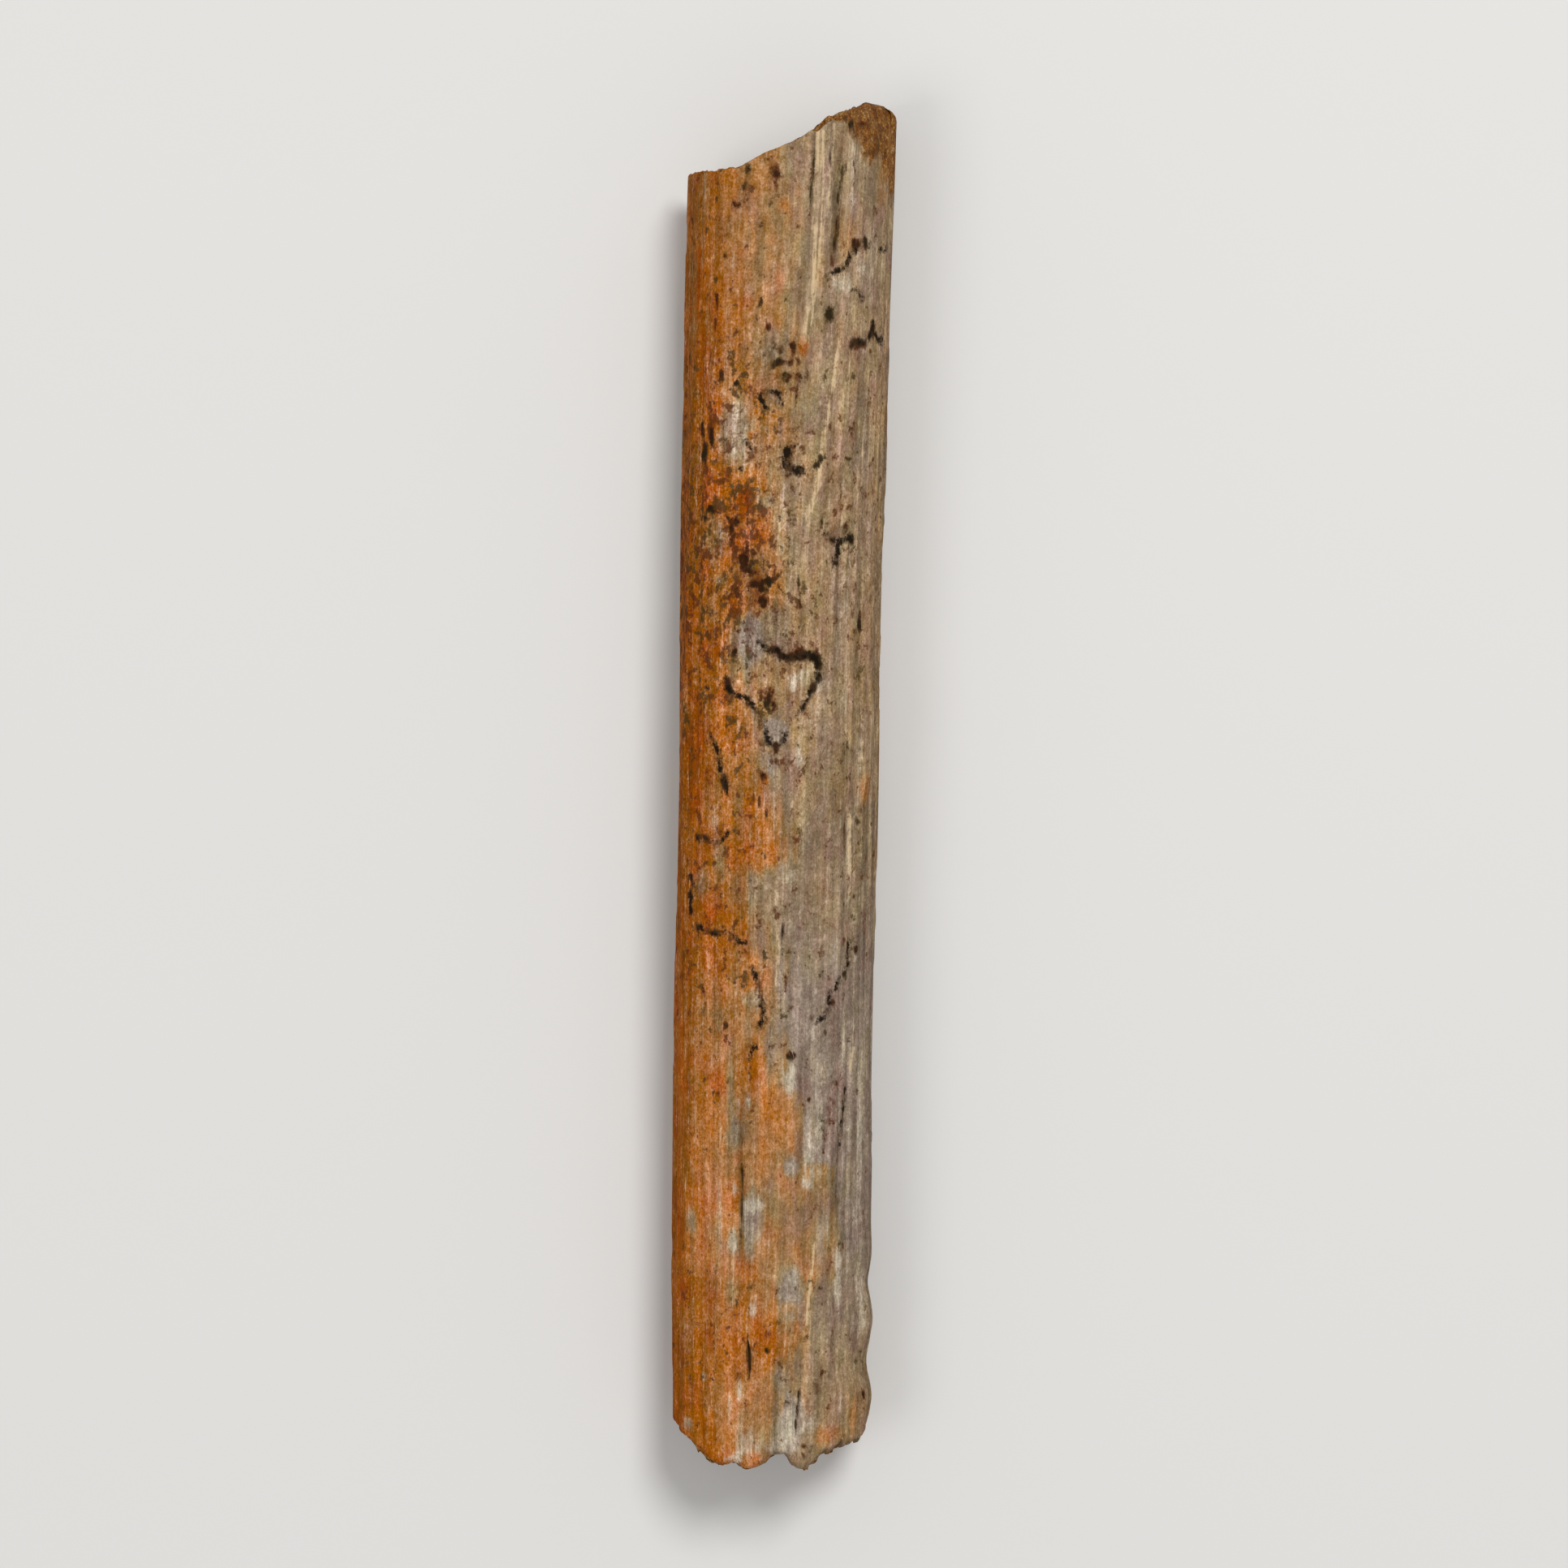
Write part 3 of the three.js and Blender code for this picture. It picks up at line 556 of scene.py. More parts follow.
STAINS = [
    (4.5, 36.2, 0.36, 0.13, 0.6), (3.7, 36.1, 0.18, 0.27, 0.8), (3.9, 35.8, 0.22, 0.09, 0.7),
    (5.3, 35.2, 0.13, 0.62, 0.5), (-0.5, 33.6, 0.22, 0.4, 0.6), (-1.9, 33.5, 0.18, 0.36, 0.7),
    (-0.2, 33.2, 0.22, 0.18, 0.7), (-2, 32.7, 0.22, 0.27, 0.6), (-0.4, 32.7, 0.13, 0.27, 0.7),
    (-2.5, 31.7, 0.22, 0.11, 1), (4.5, 29.8, 0.07, 0.4, 0.7), (2.6, 29.7, 0.18, 0.71, 0.3),
    (4, 29.6, 0.18, 0.27, 0.7), (4.4, 29.5, 0.6, 0.35, 0.5), (-3.1, 28.9, 0.11, 0.18, 1),
    (2.7, 28.6, 0.11, 0.36, 0.5), (-1.2, 26.3, 0.09, 0.31, 0.8), (-3.5, 26.2, 0.09, 0.53, 0.6),
    (2.5, 25.6, 0.25, 0.45, 0.9), (-3.6, 25.1, 0.09, 0.36, 0.7), (-0.8, 24.9, 0.13, 0.22, 0.8),
    (4.15, 24.1, 0.45, 0.28, 0.7), (5, 24.9, 0.22, 0.4, 0.7), (0.5, 23.8, 0.13, 0.36, 0.9),
    (-0.1, 23.7, 0.18, 0.27, 0.6), (4.1, 23.4, 0.09, 0.44, 0.5), (-0.3, 23, 0.36, 0.22, 0.9),
    (0.4, 23, 0.13, 0.22, 0.7), (0.8, 23, 0.09, 0.27, 0.6), (-0.7, 22.8, 0.27, 0.18, 0.6),
    (-3.3, 22.5, 0.18, 0.22, 0.9), (0.2, 22.3, 0.36, 0.22, 0.6), (-3.3, 22.1, 0.18, 0.22, 0.7),
    (0.8, 22.1, 0.13, 0.31, 0.6), (-2.5, 21.9, 0.18, 0.13, 1), (0.7, 21.2, 0.07, 0.62, 0.5),
    (4.8, 20.8, 0.13, 1.11, 0.3), (-4.5, 19.6, 0.13, 0.27, 0.8), (3.9, 19.1, 0.18, 0.8, 0.45),
    (-3.8, 19, 0.16, 0.55, 0.9), (-4.25, 18.2, 0.26, 0.6, 1), (-4.4, 19.3, 0.2, 0.4, 0.7),
    (-4.4, 17.9, 0.16, 0.22, 0.8), (2, 17.8, 0.13, 0.13, 0.8), (3.6, 17.8, 0.22, 0.13, 0.8),
    (1.8, 17.4, 0.18, 0.13, 0.9), (-2.3, 17.2, 0.13, 0.13, 1), (0.2, 16.8, 0.13, 0.13, 0.9),
    (-3.9, 15, 0.18, 0.16, 0.9), (-4.2, 14.5, 0.18, 0.22, 0.8), (-3, 14.5, 0.16, 0.13, 1),
    (-2.6, 14.3, 0.31, 0.18, 0.6), (2.1, 14.3, 0.09, 0.36, 0.6), (4.5, 14.1, 0.13, 0.89, 0.3),
    (-2.8, 13.9, 0.13, 0.27, 0.7), (3.4, 13.9, 0.22, 0.27, 0.6), (2.7, 13.8, 0.22, 0.18, 0.5),
    (3.8, 13.4, 0.18, 0.27, 1), (2.7, 13.3, 0.13, 0.18, 0.7), (-2, 12.8, 0.27, 0.13, 0.9),
    (-1.6, 12.6, 0.18, 0.13, 1), (-2.2, 12.3, 0.27, 0.22, 0.9), (3.6, 12.3, 0.18, 0.36, 0.35),
    (-2.1, 12.1, 0.22, 0.13, 0.9), (-2.1, 11.8, 0.44, 0.13, 0.6), (-1.9, 11.6, 0.36, 0.09, 0.9),
    (-0.8, 11, 0.18, 0.22, 0.8), (-1.2, 10.9, 0.18, 0.18, 0.8), (-1.5, 10.9, 0.27, 0.22, 0.8),
    (4.1, 10.8, 0.22, 0.36, 0.5), (0.8, 10.8, 0.07, 0.53, 0.6), (-1.1, 10.6, 0.22, 0.18, 0.8),
    (-2.7, 10.6, 0.27, 0.18, 0.6), (-2.6, 10.2, 0.31, 0.22, 0.6), (0.9, 10.1, 0.07, 0.36, 0.6),
    (-1.1, 9.9, 0.13, 0.27, 0.8), (4.4, 9, 0.13, 0.53, 0.7), (4.4, 8.6, 0.13, 0.22, 0.7),
    (-2.4, 8.3, 0.13, 0.18, 0.9), (4.4, 7.7, 0.07, 0.8, 0.5), (1.6, 7.4, 0.27, 0.13, 0.5),
    (-0.7, 7.3, 0.22, 0.13, 0.9), (-0.4, 7.3, 0.18, 0.18, 0.9), (-2.6, 7.2, 0.13, 0.22, 0.8),
    (1.1, 7.2, 0.22, 0.18, 0.9), (-0.2, 7, 0.18, 0.18, 0.9), (0.8, 7, 0.4, 0.22, 1),
    (1.7, 6.9, 0.27, 0.22, 1), (0.3, 6.9, 0.27, 0.18, 0.9), (1.9, 6.5, 0.18, 0.27, 1),
    (1.9, 5.8, 0.18, 0.18, 0.9), (-3, 5.5, 0.13, 0.22, 0.9), (1.6, 5.2, 0.18, 0.27, 0.9),
    (-4.1, 5.2, 0.18, 0.18, 0.8), (-2.9, 5.1, 0.13, 0.22, 1), (-0.7, 4.8, 0.18, 0.36, 0.6),
    (-1, 4.6, 0.22, 0.44, 0.5), (-0.9, 4.2, 0.22, 0.27, 0.6), (-0.5, 4.2, 0.13, 0.27, 0.7),
    (-1.1, 2.2, 0.27, 0.18, 0.6), (-0.5, 2.1, 0.36, 0.11, 0.8), (3.6, 2.1, 0.53, 0.8, 0.2),
    (-0.4, 1.8, 0.16, 0.27, 0.9), (-0.4, 1.2, 0.13, 0.18, 0.9), (2.1, 0.8, 0.11, 0.1, 1),
    (-1.1, 0.4, 0.18, 0.18, 0.7), (3.8, 0.2, 0.07, 0.44, 0.6), (-3.2, 0.1, 0.18, 0.27, 0.8),
    (-3.1, -0.2, 0.13, 0.18, 1), (2.8, -0.8, 0.36, 1.33, 0.25), (-1.3, -1, 0.09, 0.36, 0.7),
    (-0.9, -1.8, 0.09, 0.36, 0.7), (4.2, -2.1, 0.13, 0.22, 0.6), (-4.6, -3, 0.13, 0.13, 1),
    (3.5, -3, 0.09, 0.98, 0.4), (-4.2, -3, 0.16, 0.13, 1), (-5.1, -5.2, 0.11, 0.22, 0.9),
    (-5.1, -6.2, 0.13, 0.22, 0.8), (4.1, -6.2, 0.13, 0.13, 0.8), (-4.6, -7.9, 0.18, 0.13, 1),
    (-3.7, -8.2, 0.31, 0.13, 0.9), (4.2, -9.2, 0.18, 0.13, 0.9), (3.5, -10.5, 0.18, 0.16, 0.9),
    (-4.3, -11, 0.13, 1.33, 0.3), (0.1, -11, 0.09, 0.62, 0.45), (2.7, -12, 0.16, 0.18, 0.9),
    (-4.4, -12.5, 0.27, 0.36, 0.4), (1.6, -12.8, 0.18, 0.22, 0.5), (-3.1, -13.3, 0.16, 0.18, 0.9),
    (3.2, -14.8, 0.22, 1.78, 0.25), (0.4, -14.9, 0.22, 0.11, 0.9), (0.4, -15, 0.22, 0.2, 1),
    (1.4, -17.3, 0.13, 0.16, 0.9), (2.8, -17.5, 0.36, 1.33, 0.35), (3.4, -18.6, 0.07, 1.33, 0.5),
    (2.2, -19, 0.36, 1.11, 0.25), (3, -21.5, 0.09, 2.67, 0.3), (2.6, -26.3, 0.13, 1.11, 0.35),
    (1.9, -28.1, 0.36, 0.89, 0.25), (-0.8, -30.3, 0.36, 0.36, 0.35), (4.6, -30.3, 0.09, 0.18, 0.8),
    (2.7, -30.6, 0.13, 0.8, 0.35), (-0.9, -31.1, 0.13, 0.13, 1), (2.1, -32.1, 0.13, 0.53, 0.4),
    (1.9, -33, 0.36, 0.62, 0.25), (4.4, -33.7, 0.11, 0.27, 0.8), (4.2, -34.3, 0.22, 0.67, 0.35),
    (1.1, -36.3, 0.18, 0.13, 0.7), (1.5, -36.6, 0.22, 0.22, 0.5), (1.1, -36.9, 0.13, 0.13, 0.8),
    (-1.2, 11.2, 0.85, 0.8, 0.42), (-2.1, 12.4, 0.4, 0.5, 0.3), (-1.6, 10, 0.6, 0.5, 0.38),
    (-3.9, 14.9, 0.6, 0.4, 0.45), (-2.7, 13.6, 0.26, 0.8, 0.45),
]

# Bare, pale fibres: half width, strength, path.
PALE_FIBRES = [
    (0.24, 0.5, [(1.99, 35.68), (1.9, 30.34)]),
    (0.08, 1, [(1.9, 35.81), (1.68, 31.9), (1.68, 29.01), (1.59, 27.9), (1.59, 26.92), (1.28, 25.45),
               (1.14, 24.7)]),
    (0.07, 1, [(2.17, 35.68), (2.08, 30.12), (1.68, 26.48), (1.32, 24.12)]),
    (0.07, 0.9, [(2.83, 36.12), (2.75, 33.99)]),
    (0.16, 0.6, [(2.57, 33.68), (2.43, 31.54)]),
    (0.1, 0.6, [(3.46, 35.55), (3.46, 33.9), (3.32, 33.01)]),
    (0.07, 0.8, [(3.01, 24.43), (2.92, 23.45)]),
    (0.13, 0.9, [(2.88, 23.36), (2.66, 21.67)]),
    (0.07, 0.8, [(2.61, 21.67), (2.43, 20.79), (2.39, 20.12), (2.12, 18.56), (2.08, 18.03)]),
    (0.06, 0.8, [(3.63, 23.1), (3.55, 22.47), (3.41, 22.03), (3.19, 20.56)]),
    (0.06, 0.6, [(4.21, 19.9), (4.26, 19.01), (4.43, 18.47), (4.52, 17.76)]),
    (0.05, 0.5, [(1.63, 20.56), (1.59, 19.67)]),
    (0.15, 1, [(1.99, 17.32), (1.86, 16.43), (1.63, 15.72), (1.5, 14.92)]),
    (0.08, 0.7, [(1.23, 14.74), (1.32, 14.03), (1.28, 13.14), (1.06, 12.34), (0.97, 11.54)]),
    (0.06, 0.7, [(0.97, 11.54), (1.06, 10.78), (1.06, 10.03)]),
    (0.07, 0.4, [(-0.46, 14.56), (-0.41, 13.58)]),
    (0.16, 0.6, [(4.48, 4.25), (4.43, 3)]),
    (0.16, 0.65, [(4.48, 2.47), (4.43, 0.87)]),
    (0.09, 0.4, [(3.72, 5.45), (3.68, 4.25)]),
    (0.16, 0.75, [(3.86, -1.89), (3.81, -5.45), (3.72, -6.34)]),
    (0.1, 0.7, [(-0.32, -8.11), (-0.28, -9.23), (-0.41, -11)]),
    (0.09, 0.45, [(-0.5, -13.89), (-0.63, -14.87)]),
    (0.1, 0.65, [(4.12, -13.36), (4.08, -14.56), (3.9, -15.76)]),
    (0.07, 0.5, [(2.21, -14.69), (2.08, -16.56)]),
    (0.13, 0.45, [(-3.52, -23.01), (-3.57, -25.01)]),
    (0.13, 0.4, [(-3.66, -25.9), (-3.43, -28.12)]),
    (0.18, 0.45, [(-2.81, -26.34), (-2.72, -28.65)]),
    (0.09, 1, [(1.68, -25.36), (1.63, -26.34), (1.46, -27.23), (1.32, -28.79)]),
    (0.07, 0.8, [(1.32, -28.79), (1.28, -29.9)]),
    (0.11, 0.4, [(-5.48, -21.01), (-5.3, -22.34)]),
    (0.09, 0.5, [(4.52, -27.68), (4.66, -29.54)]),
    (0.09, 0.4, [(3.72, -30.79), (3.59, -32.57)]),
]
FIBRE_FADE = 0.07

# Soft streaks of light and shade along the fibres: half width, stops lighter or darker, path.
SHADES = [
    (0.3, -0.65, [(3.5, -16), (3.3, -18.8), (2.9, -21), (2.75, -23.7), (2.45, -26.3), (2.35, -28.3)]),
    (0.4, -0.2, [(2.35, -28.3), (2.2, -34.5)]),
    (0.12, -0.6, [(4.3, -14), (4.1, -20)]),
    (0.12, -0.5, [(2.4, -17.5), (2, -24)]),
    (0.12, 0.45, [(3.9, -19), (3.6, -25)]),
    (0.1, 0.45, [(2.7, -16.5), (2.4, -21)]),
    (0.7, -0.3, [(3.05, 2.5), (3, -2.4)]),
    (0.12, -0.5, [(3.55, -1.9), (3.55, -4.8)]),
    (0.15, -0.45, [(-2.35, -16), (-2.35, -26.3)]),
    (0.14, -0.35, [(-3.05, -20), (-2.75, -24)]),
    (0.14, -0.4, [(-3.4, 30), (-3.5, 23), (-3.4, 21)]),
    (0.6, -0.5, [(4.9, 33.8), (4.9, 30.6)]),
    (0.3, -0.35, [(4.1, 23.5), (4.1, 20.8)]),
    (0.16, -0.4, [(0.25, -8.5), (0.25, -11.3)]),
    (0.18, -0.55, [(3.12, 35.2), (2.95, 32), (2.88, 30), (2.6, 28.2)]),
    (0.2, 0.35, [(2.55, 35.4), (2.4, 31.4)]),
    (0.4, 0.3, [(3.85, 35), (3.8, 31.3)]),
    (1.6, -0.14, [(2.2, -6), (2.2, -15)]),
    (0.7, -0.3, [(3.9, -8.5), (3.8, -14.5)]),
    (1.3, 0.28, [(-1, 19.5), (-0.2, 11)]),
    (0.8, 0.22, [(0.6, 17), (0.7, 9.5)]),
    (1.1, 0.16, [(-3.6, -10.5), (-3.3, -24)]),
    (0.45, 0.3, [(4.3, -15.5), (4.3, -25.5)]),
    (0.12, 0.4, [(4.25, -13.4), (3.95, -15.7), (3.6, -18.8)]),
    (0.14, 0.3, [(2.3, -13.4), (1.95, -17)]),
    (0.3, 0.25, [(3.05, -25.5), (3.05, -28.6)]),
    (0.3, 0.3, [(4.35, -26.8), (4.35, -30)]),
    (0.2, 0.3, [(-5.4, -21.5), (-5.1, -24.6)]),
    (0.25, 0.25, [(-3.5, -22.8), (-3.5, -26.3)]),
    (0.2, 0.25, [(-2.7, -24.6), (-2.7, -28.6)]),
    (0.14, 0.35, [(3.8, -1.7), (3.8, -6)]),
    (0.14, 0.35, [(2.05, 17.2), (1.65, 15.5), (1.3, 13.7), (1.2, 9.7)]),
    (0.14, 0.3, [(2.15, 24), (2.15, 18)]),
    (0.14, 0.3, [(3.05, 24), (3.05, 18)]),
    (1.5, -0.12, [(-4.6, 29), (-4.6, 12)]),
    (1.5, 0.15, [(-4.1, -15.5), (-4.1, -27)]),
    (1.1, 0.32, [(-2.3, -33.3), (-2.3, -37.5)]),
    (0.7, 0.3, [(0.3, -33.8), (0.3, -37.5)]),
    (0.7, -0.3, [(-0.9, -29.9), (-0.9, -31.4)]),
    (0.5, 0.2, [(1.4, -17.5), (1.4, -22)]),
    (0.22, 0.25, [(-3.1, -20.2), (-3.1, -24.7)]),
    (0.22, 0.25, [(-4, -22), (-3.7, -25.8)]),
    (1, -0.12, [(2.6, -10), (2.6, -14)]),
    (0.5, -0.25, [(-0.4, 34), (-0.4, 31.8)]),
    (0.4, -0.25, [(-2.1, 33.8), (-2.1, 31.8)]),
]
SHADE_FADE = 0.8

# Painted shade on the flanks and the underside, in stops darker than the crest: place across the surface,
# stops.
FLANK_SHADES = [
    (-15.5, -0.3), (-10, -0.35), (-6.5, -0.45), (-4, -0.2), (-2, -0.02), (0, 0), (4, 0), (7, -0.25),
    (10, -0.3), (15.5, -0.3),
]

# Dendrites of black mineral: half width, path.
VEINS = [
    (0.05, [(2.39, 27.77), (2.88, 28.03)]),
    (0.1, [(2.97, 28.03), (3.41, 28.25)]),
    (0.07, [(3.41, 28.43), (3.77, 28.97), (3.99, 29.28)]),
    (0.11, [(5.46, 29.32), (5.9, 29.54)]),
    (0.04, [(3.9, 27.1), (4.3, 26.7), (4.35, 26.52)]),
    (0.1, [(3.72, 23.9), (3.86, 24.12), (4.08, 24.3), (4.26, 24.16), (4.52, 24.21), (4.75, 24.48)]),
    (0.14, [(3.95, 24.3), (4.17, 24.16), (4.48, 24.16)]),
    (0.12, [(4.75, 24.48), (5.06, 25.05), (5.01, 25.23)]),
    (0.09, [(5.1, 24.74), (5.28, 24.43), (5.46, 24.3), (5.59, 24.65), (5.77, 25.59)]),
    (0.04, [(-1.52, 21.27), (-1.26, 21.23), (-0.94, 21.32), (-0.68, 21.5)]),
    (0.04, [(-0.68, 21.5), (-0.37, 21.36), (-0.19, 21.1), (-0.14, 20.79)]),
    (0.04, [(-1.26, 21.14), (-0.9, 20.38)]),
    (0.04, [(-2.06, 18.74), (-1.88, 18.65), (-1.75, 18.38), (-1.7, 18.12)]),
    (0.05, [(0.66, 18.43), (0.43, 18.38), (0.26, 18.21)]),
    (0.17, [(0.26, 18.21), (0.12, 17.67), (0.08, 17.36)]),
    (0.2, [(0.08, 17.36), (0.3, 17.18), (0.61, 17.09), (0.97, 17.09)]),
    (0.07, [(1.68, 17.27), (2.12, 17.9)]),
    (0.11, [(2.35, 13.58), (2.57, 13.4), (2.83, 13.32), (3.41, 13.36)]),
    (0.14, [(3.41, 13.36), (3.63, 13.45), (3.81, 13.36)]),
    (0.13, [(3.06, 13.27), (2.88, 11.98)]),
    (0.09, [(-1.26, 7.71), (-0.86, 7.31), (-0.59, 7.22), (-0.37, 7.31)]),
    (0.12, [(-0.37, 7.31), (-0.19, 7.14), (-0.06, 6.91), (0.21, 6.78)]),
    (0.2, [(0.21, 6.78), (0.52, 6.78), (0.83, 6.91), (1.77, 6.87)]),
    (0.17, [(1.77, 6.87), (1.9, 6.56), (1.9, 6.2)]),
    (0.12, [(1.9, 6.2), (1.99, 5.89), (1.9, 5.62), (1.5, 5.09)]),
    (0.08, [(1.5, 5.09), (1.23, 4.42)]),
    (0.06, [(1.23, 4.42), (1.1, 4.11), (0.57, 3.67)]),
    (0.12, [(-3.03, 5.62), (-2.99, 5.27), (-2.81, 5), (-2.59, 4.82)]),
    (0.08, [(-2.59, 4.82), (-1.97, 4.6), (-1.39, 3.8)]),
    (0.07, [(-1.39, 3.8), (-1.17, 3.62), (-0.94, 2.51), (-0.81, 2.25)]),
    (0.06, [(-0.81, 2.2), (-0.5, 2.11), (-0.19, 2.16), (-0.01, 2.38), (0.08, 2.69)]),
    (0.05, [(-3.92, 2.6), (-3.61, 1.89), (-3.52, 1.44)]),
    (0.08, [(-3.52, 1.44), (-3.35, 0.69), (-3.17, 0.33), (-3.08, -0.07), (-3.08, -0.38)]),
    (0.08, [(-4.72, -2.96), (-4.23, -3), (-4.01, -3.18)]),
    (0.06, [(-4.01, -3.18), (-3.7, -3.27), (-3.43, -3.13), (-2.99, -2.78)]),
    (0.07, [(-5.17, -5), (-4.9, -5.67)]),
    (0.08, [(-5.17, -6.02), (-5.08, -6.47), (-5.12, -6.82), (-5.04, -7.18)]),
    (0.08, [(-4.77, -7.94), (-4.55, -7.85), (-4.28, -8.07), (-3.66, -8.29), (-3.03, -8.16)]),
    (0.06, [(-2.81, -8.2), (-2.63, -8.51), (-2.41, -8.69), (-2.1, -8.78)]),
    (0.07, [(-1.7, -10.2), (-1.3, -11.05)]),
    (0.05, [(-1.3, -11.05), (-1.3, -11.54), (-1.17, -11.85)]),
    (0.09, [(-1.17, -11.85), (-1.08, -12.92), (-1.26, -13.18), (-1.3, -13.54)]),
    (0.06, [(-1.57, -14.47), (-1.92, -15.05)]),
    (0.06, [(3.81, -8.69), (3.72, -10.11), (3.55, -10.43)]),
    (0.06, [(3.15, -10.74), (2.83, -11.32), (2.61, -11.45), (2.48, -12.03)]),
    (0.06, [(2.61, -12.12), (2.3, -12.69), (1.86, -13.14)]),
    (0.05, [(3.59, -16.78), (3.46, -17.98), (3.15, -19.9)]),
]
VEIN_SLIM = 0.95  # how much of its half width a dendrite keeps on the upper side

# The border between the warm and the cold side, and what the warm side gains or loses across its width:
# how much, and from where to where. The dust thins out over the crest.
BORDER = (0.9, -1.1)
BORDER_RAGGED = 1.1
LEFT_SLOPES = [(0.1, -1.5, -5), (-0.12, -2.5, 1.5)]
LEFT_RIM = {"more": 0.09, "span": (-4, -6.4), "ragged": 0.5}
DUST_BORDER = (2, -2)
DUST_ON_THE_RIGHT = 0.45

# ---- Marks of the flanks and the underside, and of the worn corner ----
# Where they take over from those of the upper side: distance from the crest over the surface.
SIDE_REACH = 9
SOFT_TURN = (8, 11.5)
CRISP_TURN = (9, 10.5)

# What the flanks and the underside carry: a level, and ripples round it as amount, width, length, seed.
HIDDEN_WARMTH = (0.42, [(0.38, 4.5, 22, 52), (0.2, 1.2, 9, 53)])
HIDDEN_DUST = (0.4, [(0.4, 5, 15, 58)])
HIDDEN_BLOTS = (0, [(1, 0.9, 1.8, 82), (0.35, 0.3, 0.6, 83)])
HIDDEN_STRENGTH = 0.7

# The walks of the dendrites there: ranges of half width, steps in a walk and length of a step, how much a
# walk turns at each step, and how near it starts to the rod's ends.
HIDDEN_VEIN = {"half": (0.05, 0.13), "steps": (4, 11), "step": (0.35, 0.75), "turn": 0.55, "margin": 3}
HIDDEN_VEIN_COUNT = 16

# The crust of the worn corner, and its run down the right edge.
CRUST = {"past_chip": (-0.9, 0.7), "from_x": (2.6, 3.4), "down_the_flank": (13, 11)}
CRUST_RUN = {"amount": 0.8, "across": 7, "half": 0.7, "span": (29.4, 33.5)}


# ---- Where each mark lies: values from 0 to 1 over the surface, unless said otherwise ----
PATCH_EDGE = (1.7, 0.35)  # in half widths of a patch, where it starts and where it is full
FAR_MARK = 2.0  # the greatest distance that is kept from a crack or a dendrite


def hidden_field(across, y, field):
    level, layers = field
    return level + ripples(across, y, layers)


def patch_sum(across, y, patches, raggedness):
    total = np.zeros(np.shape(across))
    for x, at, half_width, half_length, amount in patches:
        right = round_the_rod(across - across_at(x, at)) / half_width
        distance = np.hypot(right, (y - at) / half_length) + raggedness
        total = total + amount * smooth(*PATCH_EDGE, distance)
    return total


def ragged(across, y, width, length, seed):
    """Raggedness along the fibres, coarse and fine together."""
    layers = [(0.6, width, length, seed), (0.4, width / 2, length / 3, seed + 1)]
    return ripples(across - fibre_lean(across, y), y, layers)


def warmth(across, y):
    edge = across_at(along(WARM_EDGE, y), y)
    past = across - edge + BORDER_RAGGED * ragged(across, y, 0.4, 3, seed=50)
    left = along(LEFT_WARMTH, y)
    for more, start, end in LEFT_SLOPES:
        left = left + more * smooth(start, end, across)
    outwards = across + LEFT_RIM["ragged"] * ragged(across, y, 0.4, 5, seed=56)
    rim = LEFT_RIM["more"] * smooth(*LEFT_RIM["span"], outwards)
    seen = blend(along(RIGHT_WARMTH, y), left, smooth(*BORDER, past)) + rim
    base = blend(seen, hidden_field(across, y, HIDDEN_WARMTH), smooth(*SOFT_TURN, np.abs(across)))
    return base + patch_sum(across, y, WARM_PATCHES, 0.5 * ragged(across, y, 0.4, 2.2, seed=54))


def dustiness(across, y):
    """How thick the fine brown specks lie, mostly on the warm side."""
    seen = along(DUST, y) * blend(DUST_ON_THE_RIGHT, 1, smooth(*DUST_BORDER, across))
    return blend(seen, hidden_field(across, y, HIDDEN_DUST), smooth(*SOFT_TURN, np.abs(across)))


def paleness(across, y):
    rough = 0.8 * ragged(across, y, 0.3, 1.4, seed=60)
    films = ripple(across, y, 1.6, 6, seed=62) + 0.4 * rough
    hidden = smooth(0.45, 0.75, films) * smooth(*CRISP_TURN, np.abs(across))
    return np.clip(patch_sum(across, y, PALE_PATCHES, rough) + HIDDEN_STRENGTH * hidden, 0, 1)


def bare_fibres(across, y):
    best = np.zeros(np.shape(across))
    for half, strength, path in PALE_FIBRES:
        frayed = 0.05 * ripple(across, y, 0.3, 1.1, seed=70)
        distance = distance_to_path(across, y, on_surface(path)) + frayed
        best = np.maximum(best, strength * smooth(half + FIBRE_FADE, 0.6 * half, distance))
    return best


def shading(across, y):
    """Painted light and shade: soft streaks along the fibres, and darker flanks and underside, in stops."""
    place = across + 0.1 * ragged(across, y, 0.3, 2.5, seed=95)
    total = along(FLANK_SHADES, across)
    for half, stops, path in SHADES:
        start, end = path[-1][1], path[0][1]
        fade = plateau((start - SHADE_FADE, start + SHADE_FADE, end - SHADE_FADE, end + SHADE_FADE), y)
        middle = along(upwards(on_surface(path)), y)
        total = total + stops * fade * bell(round_the_rod(place - middle) / half)
    return total


def wandering_paths(random, count):
    """Winding walks over the flanks and underside: half width, path of (across, y) points."""
    paths = []
    for _ in range(count):
        across = random.uniform(SIDE_REACH, PERIMETER - SIDE_REACH)
        y = random.uniform(HIDDEN_VEIN["margin"] - HALF_LENGTH, HALF_LENGTH - HIDDEN_VEIN["margin"])
        heading = random.uniform(0, 2 * math.pi)
        path = [(across, y)]
        for _ in range(random.integers(*HIDDEN_VEIN["steps"])):
            heading += random.normal(0, HIDDEN_VEIN["turn"])
            step = random.uniform(*HIDDEN_VEIN["step"])
            across += step * math.cos(heading)
            y += step * math.sin(heading)
            path.append((across, y))
        paths.append((random.uniform(*HIDDEN_VEIN["half"]), path))
    return paths


HIDDEN_VEINS = wandering_paths(np.random.default_rng(3), HIDDEN_VEIN_COUNT)


